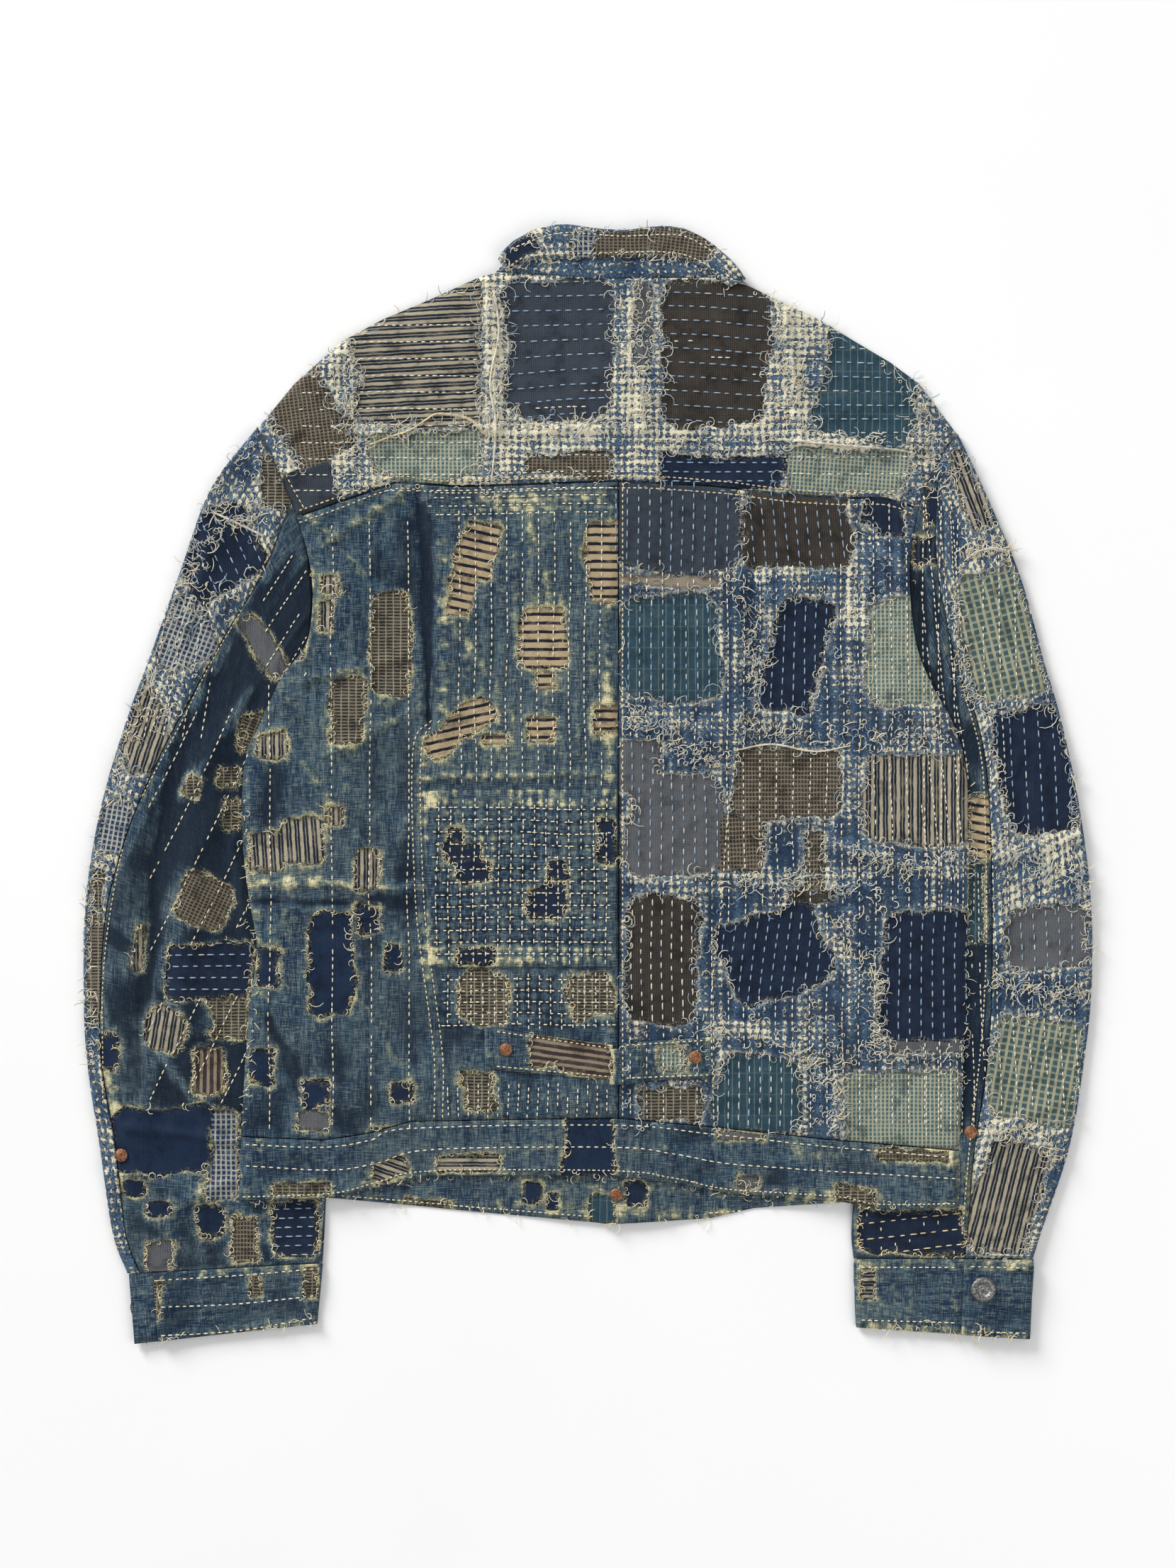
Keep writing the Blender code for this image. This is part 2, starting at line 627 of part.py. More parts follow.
def evaluated_copy(source):
    """A plain mesh of the object with its modifiers, as triangles."""
    bpy.context.view_layer.update()
    graph = bpy.context.evaluated_depsgraph_get()
    mesh = bpy.data.meshes.new_from_object(source.evaluated_get(graph))
    bm = bmesh.new()
    bm.from_mesh(mesh)
    bmesh.ops.remove_doubles(bm, verts=bm.verts, dist=0.00001)
    bmesh.ops.triangulate(bm, faces=bm.faces)
    bm.to_mesh(mesh)
    bm.free()
    return mesh


def finish(name, mesh, colour):
    """A named object in the jacket's collection, smooth but for its sharp edges."""
    piece = bpy.data.objects.new(name, mesh)
    jacket.objects.link(piece)
    mesh.materials.clear()
    mesh.materials.append(cloth_material(name + "_cloth", colour))
    mesh.shade_smooth()
    mesh.set_sharp_from_angle(angle=math.radians(40))
    return piece


def cloth_panel(name, grid, wall, lay, colour, windows=(), seed=1, flatten=np.asarray):
    """A cloth wall: a flat plate with its worn windows cut, then laid by the function lay."""
    grid = pull_in(grid)
    if windows:
        floor = max(wall - WORN_LAYER, THINNEST_WALL)
        base = flat_plate(name + "_base", grid, 0.0, floor, cutters)
        worn = flat_plate(name + "_worn", grid, floor - 0.0002, wall, cutters)
        cutter = window_cutter(name + "_windows", windows, 0.0001, wall + 0.001, seed, flatten)
        cut = worn.modifiers.new("windows", "BOOLEAN")
        cut.operation = "DIFFERENCE"
        cut.object = cutter
        join = base.modifiers.new("layers", "BOOLEAN")
        join.operation = "UNION"
        join.object = worn
        mesh = evaluated_copy(base)
        helpers = (base, worn, cutter)
    else:
        base = flat_plate(name + "_base", grid, 0.0, wall, cutters)
        mesh = evaluated_copy(base)
        helpers = (base,)
    for helper in helpers:
        bpy.data.objects.remove(helper)
    places = np.empty(len(mesh.vertices) * 3)
    mesh.vertices.foreach_get("co", places)
    laid = lay(places.reshape(-1, 3))
    mesh.vertices.foreach_set("co", laid.ravel())
    bm = bmesh.new()
    bm.from_mesh(mesh)
    if bm.calc_volume(signed=True) < 0:
        bmesh.ops.reverse_faces(bm, faces=bm.faces)
    bm.to_mesh(mesh)
    bm.free()
    return finish(name, mesh, colour)


def lay_on(level):
    """A laying function that lifts each point by the level under it."""

    def lay(places):
        laid = places.copy()
        laid[:, 2] += level(to_plan(places))
        return laid

    return lay


def body_line(sleeve, column, start, inset):
    """A side of the body: the armhole from share start down, then the side edge, moved in by inset."""
    hole = armhole(sleeve, start, ARMHOLE_END, 5) + (inset * ARMHOLE_INSET, 0)
    side = np.stack([SIDES[1:-1, column] + inset, SIDES[1:-1, 0]], 1)
    return np.vstack([hole, side])


def turned(name, rings, plan, bottom, colour, steps=14):
    """A turned metal piece: a profile of radius and height carried round its own axis."""
    mesh = bpy.data.meshes.new(name)
    mesh.from_pydata([(radius, 0.0, height) for radius, height in rings[::-1]],
                     [(k, k + 1) for k in range(len(rings) - 1)], [])
    piece = bpy.data.objects.new(name, mesh)
    jacket.objects.link(piece)
    spin = piece.modifiers.new("turn", "SCREW")
    spin.steps = steps
    spin.render_steps = steps
    spin.use_merge_vertices = True
    spin.merge_threshold = 0.0001
    piece.location = (*to_metres(plan), bottom)
    mesh.materials.append(cloth_material(name + "_metal", colour, roughness=0.4, metallic=1.0))
    return piece


def shell(name, middle, wall, colour):
    """A cloth wall of even thickness on a grid of places for its middle, in metres."""
    rows, columns = middle.shape[:2]
    bm = bmesh.new()
    bmesh.ops.create_grid(bm, x_segments=columns - 1, y_segments=rows - 1, size=1.0)
    for vertex, place in zip(bm.verts, middle.reshape(-1, 3)):
        vertex.co = place
    mesh = bpy.data.meshes.new(name)
    bm.to_mesh(mesh)
    bm.free()
    piece = bpy.data.objects.new(name, mesh)
    jacket.objects.link(piece)
    skin = piece.modifiers.new("wall", "SOLIDIFY")
    skin.thickness = wall
    skin.offset = 0.0
    skin.use_even_offset = True
    mesh.materials.append(cloth_material(name + "_cloth", colour))
    return piece


# Body: two backs with their pleats, the yoke, and the two fronts under them
thirds = (0, 0.33, 0.66)
quarters = (0, 0.25, 0.5, 0.75)
back_rows = np.linspace(0, 1, 21)
left_side = body_line(left_sleeve, 1, YOKE_END_LEFT, 0)
right_side = body_line(right_sleeve, 2, YOKE_END_RIGHT, 0)
left_columns = ((0, 0.03, 0.07, 0.25, 0.45, 0.65, 0.85, 0.96), (0, 0.05, 0.25, 0.5, 0.75))
right_columns = ((0, 0.25, 0.5, 0.75, 0.94), (0, 0.04, 0.2, 0.4, 0.6, 0.8, 0.94, 0.97))
cloth_panel(
    "back_left",
    panel_grid((left_side, LEFT_PLEAT, CENTRE_SEAM), left_columns, back_rows, YOKE_SEAM, WAIST_SEAM),
    BACK_WALL, lay_on(back_level), DENIM, BACK_LEFT_WINDOWS, 11,
)
cloth_panel(
    "back_right",
    panel_grid((CENTRE_SEAM, RIGHT_PLEAT, right_side), right_columns, back_rows, YOKE_SEAM, WAIST_SEAM),
    BACK_WALL, lay_on(back_level), GAUZE, BACK_RIGHT_WINDOWS, 12,
)
yoke_lines = (armhole(left_sleeve, 0, YOKE_END_LEFT, 5), *YOKE_LINES,
              armhole(right_sleeve, 0, YOKE_END_RIGHT, 5))
yoke_rows = (0, 0.05, 0.12, 0.25, 0.4, 0.55, 0.7, 0.85, 1)
cloth_panel(
    "back_yoke",
    panel_grid(yoke_lines, (thirds, quarters, quarters, quarters, quarters, thirds), yoke_rows, SHOULDERS,
               np.array(YOKE_SEAM) - (0, YOKE_GAP)),
    BACK_WALL, lay_on(back_level), GAUZE, YOKE_WINDOWS, 13,
)
shoulders = np.array(SHOULDERS, float) + (0, SHOULDER_INSET)
outside_left = shoulders[shoulders[:, 0] < NECK_LEFT]
outside_right = shoulders[shoulders[:, 0] > NECK_RIGHT]
front_top = np.vstack([outside_left, FRONT_NECKLINE, outside_right])
front_rows = np.linspace(0, 1, 20)
fifths = np.arange(0, 1, 1 / 5)
sevenths = np.arange(0, 1, 1 / 7)
front_left_side = body_line(left_sleeve, 1, FRONT_START, FRONT_INSET)
front_right_side = body_line(right_sleeve, 2, FRONT_START, -FRONT_INSET)
cloth_panel(
    "front_left",
    panel_grid((front_left_side, *LEFT_FRONT_LINES), (sevenths, fifths), front_rows, front_top, FRONT_WAIST),
    FRONT_WALL, lay_on(front_level), HIDDEN,
)
cloth_panel(
    "front_right",
    panel_grid((*RIGHT_FRONT_LINES, front_right_side), (fifths, sevenths), front_rows, front_top,
               FRONT_WAIST),
    FRONT_WALL, lay_on(placket_level), HIDDEN,
)

# Waistband: one band across the back, and one on each front
band_columns = ((0, 0.08, 0.28, 0.5, 0.75), sevenths, np.arange(0, 1, 1 / 6), (0, 0.25, 0.5, 0.75, 0.92))
cloth_panel(
    "waistband_back",
    panel_grid(BAND_LINES, band_columns, (0, 0.33, 0.67, 1), WAIST_SEAM, BACK_HEM),
    BAND_WALL, lay_on(back_level), DENIM, WAIST_WINDOWS, 14,
)
for name, ends, level in (("waistband_front_left", LEFT_BAND, front_level),
                          ("waistband_front_right", RIGHT_BAND, placket_level)):
    lines = [((end, FRONT_BAND_TOP), (end, low)) for end, low in zip(ends, FRONT_BAND_LOW)]
    cloth_panel(
        name, panel_grid(lines, (np.arange(0, 1, 1 / 12),), (0, 0.5, 1), FRONT_WAIST, FRONT_HEM),
        FRONT_WALL, lay_on(level), DENIM,
    )

# Stitched grid patch on the left back
cloth_panel(
    "grid_patch",
    panel_grid(((GRID_PATCH[0], GRID_PATCH[3]), PATCH_MIDDLE, (GRID_PATCH[1], GRID_PATCH[2])),
               (quarters, quarters), np.linspace(0, 1, 10), None, None),
    PATCH_WALL, lay_on(top_of_back), DENIM, GRID_WINDOWS, 15,
)

# Sleeves: an outer and an under panel each, rolled round the folded edges. The slack brings both panels
# to one height at their seam, and the folds fade near the side of the body and near the folded edge.
RUN = 1000.0
ARMHOLE_GAP = 0.0015
UNDER_SHARES = (0.33, 0.67, 1)
ROLL_ANGLES = (0, 45, 90, 135, 180)
SLEEVE_ROWS = 23
SLACK_START = 0.1
SLACK_LENGTH = 0.5
SIDE_GAP = 4.0
SIDE_FADE = 40.0
ROLL_FADE = 24.0


def sleeve_grid(sleeve, from_outer, columns_over):
    """Flat grid of a sleeve panel: distance in from its folded edge, and place along the sleeve.

    Past the start of the roll the distance goes on as cloth round the edge and under the sleeve."""
    v = np.linspace(ARMHOLE_GAP, 1, SLEEVE_ROWS)
    row = along(sleeve.table, v)
    width = np.linalg.norm(row[:, 2:4] - row[:, 0:2], axis=1)
    over = row[:, 5] * width if from_outer else (1 - row[:, 5]) * width
    under = row[:, 6] * width if from_outer else (1 - row[:, 6]) * width
    roll = (OUTER_ROLL if from_outer else INNER_ROLL) / PLAN_STEP
    columns = [roll + (over - roll) * (1 - step / columns_over) for step in range(columns_over)]
    columns += [np.full_like(v, roll - roll * math.radians(angle)) for angle in ROLL_ANGLES]
    columns += [roll - roll * math.pi - (under - roll) * share for share in UNDER_SHARES]
    return np.stack([np.stack(columns, 1), np.repeat(v[:, None] * RUN, len(columns), 1)], -1)


def lay_sleeve(sleeve, from_outer, column):
    """The laying function of a sleeve panel: flat on top, round the folded edge, and flat below."""
    radius = OUTER_ROLL if from_outer else INNER_ROLL
    roll = radius / PLAN_STEP

    def lay(places):
        flat = to_plan(places)
        v = flat[:, 1] / RUN
        _, forward, _, width, _ = sleeve.frame(v)
        past = roll - flat[:, 0]
        angle = np.clip(past / roll, 0, math.pi)
        round_edge = roll - roll * np.sin(angle) + np.maximum(past - roll * math.pi, 0)
        inward = np.where(past < 0, flat[:, 0], round_edge)
        across = inward if from_outer else width - inward
        plan = sleeve.bowed(v, across)
        share = ease((across / width - SLACK_START) / SLACK_LENGTH)
        drop = 2 * (OUTER_ROLL - INNER_ROLL)
        slack = -drop * share if from_outer else drop * (1 - share)
        edge = np.interp(plan[:, 1], SIDES[:, 0], SIDES[:, column])
        clear = ease(((edge - plan[:, 0]) * sleeve.turn - SIDE_GAP) / SIDE_FADE)
        raised = (fold_height(sleeve.folds, plan) * clear + slack) * ease((flat[:, 0] - roll) / ROLL_FADE)
        middle = SLEEVE_WALL / 2 + radius + radius * np.cos(angle) + raised
        out = places[:, 2] - SLEEVE_WALL / 2
        push = np.sin(angle) * out * (-1 if from_outer else 1) / PLAN_STEP
        laid = np.empty_like(places)
        laid[:, :2] = to_metres(plan + forward * push[:, None])
        laid[:, 2] = middle + np.cos(angle) * out
        return laid

    return lay


def sleeve_flatten(sleeve, from_outer):
    """Takes plan points on the upper side to the flat plate of a sleeve panel."""

    def flatten(plan):
        v, across = sleeve.find(plan)
        width = sleeve.frame(v)[3]
        return np.stack([across if from_outer else width - across, v * RUN], 1)

    return flatten


for name, sleeve, column, from_outer, columns_over, colour, windows in (
    ("sleeve_upper_left", left_sleeve, 1, True, 4, GAUZE, LEFT_UPPER_WINDOWS),
    ("sleeve_under_left", left_sleeve, 1, False, 9, DENIM, LEFT_UNDER_WINDOWS),
    ("sleeve_upper_right", right_sleeve, 2, True, 6, GAUZE, RIGHT_UPPER_WINDOWS),
    ("sleeve_under_right", right_sleeve, 2, False, 7, DENIM, ()),
):
    cloth_panel(
        name, sleeve_grid(sleeve, from_outer, columns_over), SLEEVE_WALL,
        lay_sleeve(sleeve, from_outer, column), colour, windows, 21, sleeve_flatten(sleeve, from_outer),
    )

# Cuffs: each is one strip carried round the inner fold, with its button end at the outer side. A path
# lists whether a place is measured from the outer edge, how far in it is, and the height there.
CUFF_TOP = 0.0044
END_TOP = 0.0076
CUFF_LOW = BAND_WALL / 2 + 0.00003
LAP_RISE = 0.0018
LAP_START = 0.0008
LAP_END = 0.0022
LEFT_CUFF = (((182, 1797.6), (190, 1896)), ((454, 1782.6), (446, 1868)))
RIGHT_CUFF = (((1457, 1776.6), (1452, 1889)), ((1207, 1776.6), (1210, 1873)))


def cuff_middle(outer, inner, path, rows=5):
    """Grid of places for the middle of a cuff's wall along a path."""
    share = np.linspace(0, 1, rows)
    outer = even(outer, share)
    inner = even(inner, share)
    reach = inner - outer
    width = np.linalg.norm(reach, axis=1)
    forward = reach / width[:, None]
    places = []
    for from_outer, distance, height in path:
        across = np.full(rows, distance) if from_outer else width - distance
        places.append(np.column_stack([to_metres(outer + forward * across[:, None]), np.full(rows, height)]))
    return np.stack(places, 1)


def fold_path(from_outer, low, high, steps=4):
    """Half a turn round a folded edge, from the upper layer to the lower one."""
    radius = (high - low) / 2
    angles = np.linspace(0, math.pi, steps + 1)
    run = radius / PLAN_STEP * (1 - np.sin(angles))
    return [(from_outer, r, low + radius + radius * math.cos(a)) for r, a in zip(run, angles)]


left_path = [(True, 34.0, CUFF_TOP + LAP_RISE), (True, 60.0, CUFF_TOP + LAP_START), (True, 100.0, CUFF_TOP),
             (False, 90.0, CUFF_TOP), (False, 40.0, CUFF_TOP)]
left_path += fold_path(False, CUFF_LOW, CUFF_TOP)
left_path += [(False, 40.0, CUFF_LOW), (False, 90.0, CUFF_LOW), (True, 100.0, CUFF_LOW),
              (True, 60.0, CUFF_LOW + LAP_START), (True, 34.0, CUFF_LOW + LAP_RISE),
              (True, 0.0, CUFF_LOW + LAP_END)]
shell("cuff_left", cuff_middle(*LEFT_CUFF, left_path), BAND_WALL, DENIM)
right_path = [(True, 44.0, CUFF_TOP), (True, 90.0, CUFF_TOP), (False, 100.0, CUFF_TOP),
              (False, 40.0, CUFF_TOP)]
right_path += fold_path(False, CUFF_LOW, CUFF_TOP)
right_path += [(False, 40.0, CUFF_LOW), (False, 100.0, CUFF_LOW), (True, 90.0, CUFF_LOW),
               (True, 18.0, CUFF_LOW)]
shell("cuff_right", cuff_middle(*RIGHT_CUFF, right_path), BAND_WALL, DENIM)
end_path = [(True, 96.0, END_TOP), (True, 60.0, END_TOP), (True, 30.0, END_TOP)]
end_path += fold_path(True, CUFF_LOW, END_TOP, 5)[:-1] + [(True, 11.0, CUFF_LOW)]
shell("cuff_right_end", cuff_middle(*RIGHT_CUFF, end_path), BAND_WALL, DENIM)

# Collar: the stand on the neck seam, the leaf rolled over it, and the two front leaves under the fronts
stand_shares = np.linspace(0, 1, 17)
stand_top, stand_seam = even(STAND_TOP, stand_shares), even(STAND_SEAM, stand_shares)
stand_grid = np.stack([stand_top, (stand_top + stand_seam) / 2, stand_seam], 0)
neck_lay = lay_on(lambda plan: np.full(len(plan), NECK_LEVEL))
cloth_panel("collar_stand", stand_grid, COLLAR_WALL, neck_lay, HIDDEN)
leaf_shares = np.linspace(0, 1, 25)
roll_line, free_edge = even(COLLAR_ROLL, leaf_shares), even(COLLAR_FREE_EDGE, leaf_shares)
leaf_reach = np.linalg.norm(free_edge - roll_line, axis=1)
leaf_way = (free_edge - roll_line) / leaf_reach[:, None]
leaf_radius = (LEAF_HIGH - LEAF_LOW) / 2
leaf_roll = leaf_radius / PLAN_STEP
leaf_rows = []
for share, height in ((1.0, LEAF_HIGH - LEAF_BULGE), (LEAF_MIDDLE, LEAF_HIGH + LEAF_BULGE)):
    leaf_rows.append((roll_line + leaf_way * (leaf_reach * share)[:, None], height))
for angle in np.linspace(0, math.pi, 6):
    run = leaf_roll * (1 - math.sin(angle))
    leaf_rows.append((roll_line + leaf_way * run, LEAF_LOW + leaf_radius * (1 + math.cos(angle))))
leaf_rows.append((roll_line + leaf_way * COLLAR_RETURN, LEAF_LOW))
leaf_middle = np.stack([np.column_stack([to_metres(plan), np.full(len(plan), height)])
                        for plan, height in leaf_rows], 0)
shell("collar_leaf", leaf_middle, COLLAR_WALL, GAUZE)
for side, mirror in (("left", 1), ("right", -1)):
    corners = [np.array((BUTTON_LINE + (x - BUTTON_LINE) * mirror, y), float) for x, y in FRONT_LEAF]
    lines = ((corners[0], corners[3]), (corners[1], corners[2]))
    leaf_grid = panel_grid(lines, (quarters,), np.linspace(0, 1, 4), None, None)
    cloth_panel("collar_front_" + side, leaf_grid, COLLAR_WALL, np.array, GAUZE)

# Cinch on the lower back: two straps, the loop that holds them, and their rivets
for name, corners, columns in (("cinch_strap_left", LEFT_STRAP, 10), ("cinch_strap_right", RIGHT_STRAP, 7)):
    lines = ((corners[0], corners[3]), (corners[1], corners[2]))
    strap_grid = panel_grid(lines, (np.arange(0, 1, 1 / columns),), np.linspace(0, 1, 4), None, None)
    cloth_panel(name, strap_grid, STRAP_WALL, lay_on(top_of_back), DENIM)
loop_lines = ((STRAP_LOOP[0], STRAP_LOOP[3]), (STRAP_LOOP[1], STRAP_LOOP[2]))
loop_grid = panel_grid(loop_lines, ((0, 0.33, 0.67),), np.linspace(0, 1, 4), None, None)
loop_lay = lay_on(lambda plan: top_of_back(plan) + STRAP_WALL + LAYER_GAP)
cloth_panel("cinch_loop", loop_grid, STRAP_WALL, loop_lay, DENIM)


def highest(surface, plan, radius):
    """Highest level of a surface under a round piece at a plan point."""
    turns = np.linspace(0, 2 * math.pi, 13)
    ring = np.array(plan, float) + np.stack([np.cos(turns), np.sin(turns)], 1) * radius / PLAN_STEP
    return float(surface(np.vstack([ring, [plan]])).max())


def lowest(surface, plan, radius):
    """Lowest level of a surface over a round piece at a plan point."""
    return -highest(lambda points: -surface(points), plan, radius)


def top_of_sleeve(sleeve, column):
    """A function for the upper side of a sleeve's under panel at plan points."""

    def surface(plan):
        flat = to_metres(sleeve_flatten(sleeve, False)(plan))
        places = np.column_stack([flat, np.full(len(plan), SLEEVE_WALL)])
        return lay_sleeve(sleeve, False, column)(places)[:, 2]

    return surface


# Rivets, front buttons and cuff buttons, each seated just clear of the cloth that carries it
for side, plan in zip(("left", "right"), CINCH_RIVETS):
    seat = highest(top_of_back, plan, RIVET_RADIUS) + STRAP_WALL + SEAT
    turned("cinch_rivet_" + side, RIVET, plan, seat, COPPER)
for name, sleeve, column, plan in (("sleeve_rivet_left", left_sleeve, 1, LEFT_SLEEVE_RIVET),
                                   ("sleeve_rivet_right", right_sleeve, 2, RIGHT_SLEEVE_RIVET)):
    turned(name, RIVET, plan, highest(top_of_sleeve(sleeve, column), plan, RIVET_RADIUS) + SEAT, COPPER)
for number, down in enumerate(BUTTON_HEIGHTS, 1):
    plan = (BUTTON_LINE, down)
    under = lowest(front_level, plan, BUTTON_RADIUS) - SEAT - BUTTON_HEIGHT
    turned(f"front_button_{number}", BUTTON, plan, max(under, 0.0), COPPER, 12)
hem_tack = (BUTTON_LINE + TACK_OFFSET[0], BUTTON_HEIGHTS[-1] + TACK_OFFSET[1])
hem_seat = highest(placket_level, hem_tack, TACK_RADIUS) + FRONT_WALL + SEAT
turned("hem_button_tack", TACK, hem_tack, hem_seat, COPPER)
turned("cuff_button_right", DONUT, RIGHT_CUFF_BUTTON, END_TOP + BAND_WALL / 2 + SEAT, ZINC, 20)
turned("cuff_button_left", BUTTON, LEFT_CUFF_BUTTON, 0.0, ZINC, 12)
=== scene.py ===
"""Patched boro jacket, back up: cloth, patches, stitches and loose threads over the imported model.

Places are plan units: half a millimetre, counted right and down on the flat jacket."""
import math

import bpy
import numpy as np
from mathutils.bvhtree import BVHTree
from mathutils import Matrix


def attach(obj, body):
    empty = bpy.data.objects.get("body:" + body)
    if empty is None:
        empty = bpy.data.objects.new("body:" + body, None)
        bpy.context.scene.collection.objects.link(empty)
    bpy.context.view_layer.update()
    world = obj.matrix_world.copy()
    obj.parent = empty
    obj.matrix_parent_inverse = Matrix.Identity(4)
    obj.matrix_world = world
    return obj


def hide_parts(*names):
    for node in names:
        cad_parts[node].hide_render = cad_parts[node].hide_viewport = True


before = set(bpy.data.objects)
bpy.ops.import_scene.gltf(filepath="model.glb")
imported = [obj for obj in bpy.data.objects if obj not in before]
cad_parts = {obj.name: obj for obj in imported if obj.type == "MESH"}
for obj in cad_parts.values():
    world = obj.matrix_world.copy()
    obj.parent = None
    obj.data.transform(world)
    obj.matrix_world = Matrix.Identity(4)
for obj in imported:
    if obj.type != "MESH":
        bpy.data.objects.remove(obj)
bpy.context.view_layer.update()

# Fronts: two panels of faded indigo twill that lie on the table under everything else.
# The right one laps over the left one at the placket, and a front waistband closes each below.
# Everything that all cloth needs is defined here: the plan, the levels, the sheet maker and the shaders.
PLAN_STEP = 0.0005
PLAN_CENTRE = np.array((830.0, 1109.0))
FRONT_WALL = 0.0016
LAYER_GAP = 0.0006
SEAM_GAP = 0.0004
SLEEVE_STACK = 0.0044
BUTTON_STACK = 0.0020
LEAF_STACK = 0.0024
SLEEVE_RAMP = 116.0
PLACKET_RAMP = 124.0
UNDERARM_RAMP = (700.0, 900.0)
NECK_FADE = (430.0, 560.0)
LEAF_CENTRE = np.array((862.0, 480.0))
LEAF_REACH = np.array((330.0, 270.0))
LEAF_FADE = (0.95, 1.45)
PLACKET_HALF = 30.0
PLACKET_EDGE = 896.0
BUTTON_LINE = 862.0
FRONT_HEM = (
    (345, 1684), (483, 1692), (661, 1710), (865, 1728), (1004, 1720), (1063, 1706), (1198, 1696),
    (1350, 1694),
)
FRONT_WAIST = ((350, 1610), (1350, 1616))
FRONT_NECKLINE = ((700, 404), (736, 490), (790, 545), (850, 562), (960, 530), (1022, 480), (1055, 422))
SHOULDERS = (
    (365, 601), (415, 540), (483, 480), (539, 450), (610, 420), (674, 391), (700, 384), (762, 387),
    (854, 393), (1007, 391), (1055, 402), (1157, 450), (1206, 480), (1257, 510), (1298, 540),
    (1351, 611),
)
SHOULDER_INSET = 20.0
# Columns: plan height, left edge, right edge
SIDES = np.array(((930, 423, 1300), (955, 396, 1314), (1010, 370, 1345), (1074, 345, 1364),
                  (1177, 342, 1368),
                  (1258, 350, 1366), (1335, 362, 1365), (1411, 353, 1364), (1476, 347, 1360),
                  (1603, 340, 1356),
                  (1705, 337, 1354)), float)
# Columns: outer_x, outer_y, inner_x, inner_y, bow, seam_over, seam_under
LEFT_SLEEVE = np.array((
    (365, 601, 423, 930, 36, 0.34, 0.50), (298, 690, 428, 985, 24, 0.42, 0.50),
    (253, 812, 432, 1060, 12, 0.34, 0.50),
    (211, 930, 436, 1140, 4, 0.26, 0.50), (178, 1020, 440, 1215, 0, 0.20, 0.50),
    (143, 1140, 445, 1300, 0, 0.14, 0.50),
    (122, 1270, 450, 1390, 0, 0.09, 0.50), (119, 1400, 455, 1480, 0, 0.07, 0.50),
    (124, 1500, 459, 1560, 0, 0.06, 0.50),
    (142, 1620, 460, 1650, 0, 0.07, 0.50), (160, 1740, 457, 1735, 0, 0.06, 0.50),
    (181, 1797, 454, 1782, 0, 0.06, 0.50),
), float)
RIGHT_SLEEVE = np.array((
    (1351, 611, 1300, 930, -39, 0.12, 0.50), (1388, 690, 1287, 985, -26, 0.40, 0.50),
    (1439, 812, 1278, 1060, -12, 0.50, 0.50), (1472, 930, 1270, 1140, -4, 0.44, 0.50),
    (1498, 1020, 1262, 1215, 0, 0.44, 0.50), (1523, 1140, 1254, 1300, 0, 0.46, 0.50),
    (1539, 1270, 1244, 1390, 0, 0.47, 0.50), (1540, 1390, 1232, 1480, 0, 0.46, 0.50),
    (1529, 1500, 1220, 1560, 0, 0.45, 0.50), (1508, 1620, 1210, 1650, 0, 0.45, 0.50),
    (1470, 1735, 1203, 1735, 0, 0.39, 0.50), (1457, 1776, 1206, 1776, 0, 0.38, 0.50),
), float)
GRID_STEP = 3.6
COARSE = 4
WORN_LAYER = 0.0011
SOFT_EDGE = 1.6
THINNEST = 0.0006
RAGGED = ((60.0, 8.0), (20.0, 4.4), (8.0, 2.6))
DIAGONAL = np.array(((0.80, 0.30), (0.60, -0.40)))
PUCKERS = ((110.0, 0.0009), (44.0, 0.0007), (19.0, 0.0004), (9.0, 0.0002))


def to_plan(places):
    """Plan units of places in metres."""
    return np.stack([places[..., 0] / PLAN_STEP + PLAN_CENTRE[0],
                     PLAN_CENTRE[1] - places[..., 1] / PLAN_STEP], -1)


def to_metres(plan):
    """Metres on the table of plan points."""
    plan = np.asarray(plan, float)
    return np.stack([(plan[..., 0] - PLAN_CENTRE[0]) * PLAN_STEP,
                     (PLAN_CENTRE[1] - plan[..., 1]) * PLAN_STEP], -1)


def ease(share):
    """A soft step from 0 to 1 as share goes from 0 to 1."""
    share = np.clip(share, 0.0, 1.0)
    return share * share * (3.0 - 2.0 * share)


def along(table, share):
    """Rows of a table read at shares of its length, on a smooth curve through the rows."""
    table = np.asarray(table, float)
    place = np.asarray(share, float) * (len(table) - 1)
    start = np.clip(np.floor(place).astype(int), 0, len(table) - 2)
    t = (place - start)[..., None]
    padded = np.vstack([2 * table[0] - table[1], table, 2 * table[-1] - table[-2]])
    a, b, c, d = (padded[start + k] for k in range(4))
    curved = b + 0.5 * t * (c - a + t * (2 * a - 5 * b + 4 * c - d + t * (3 * (b - c) + d - a)))
    return np.where((t < 0) | (t > 1), b + t * (c - b), curved)


def length_along(points):
    """Length run along a line at each of its points, from 0."""
    return np.concatenate([[0], np.cumsum(np.linalg.norm(np.diff(points, axis=0), axis=1))])


def even(line, share):
    """Points at shares of the real length of a smooth line."""
    fine = along(line, np.linspace(0, 1, 200))
    run = length_along(fine)
    share = np.asarray(share, float) * run[-1]
    return np.stack([np.interp(share, run, fine[:, k]) for k in range(fine.shape[1])], -1)


def height_at(line, x):
    """Plan height of a line across the body at plan distance x."""
    line = np.asarray(line, float)
    return np.interp(x, line[:, 0], line[:, 1])


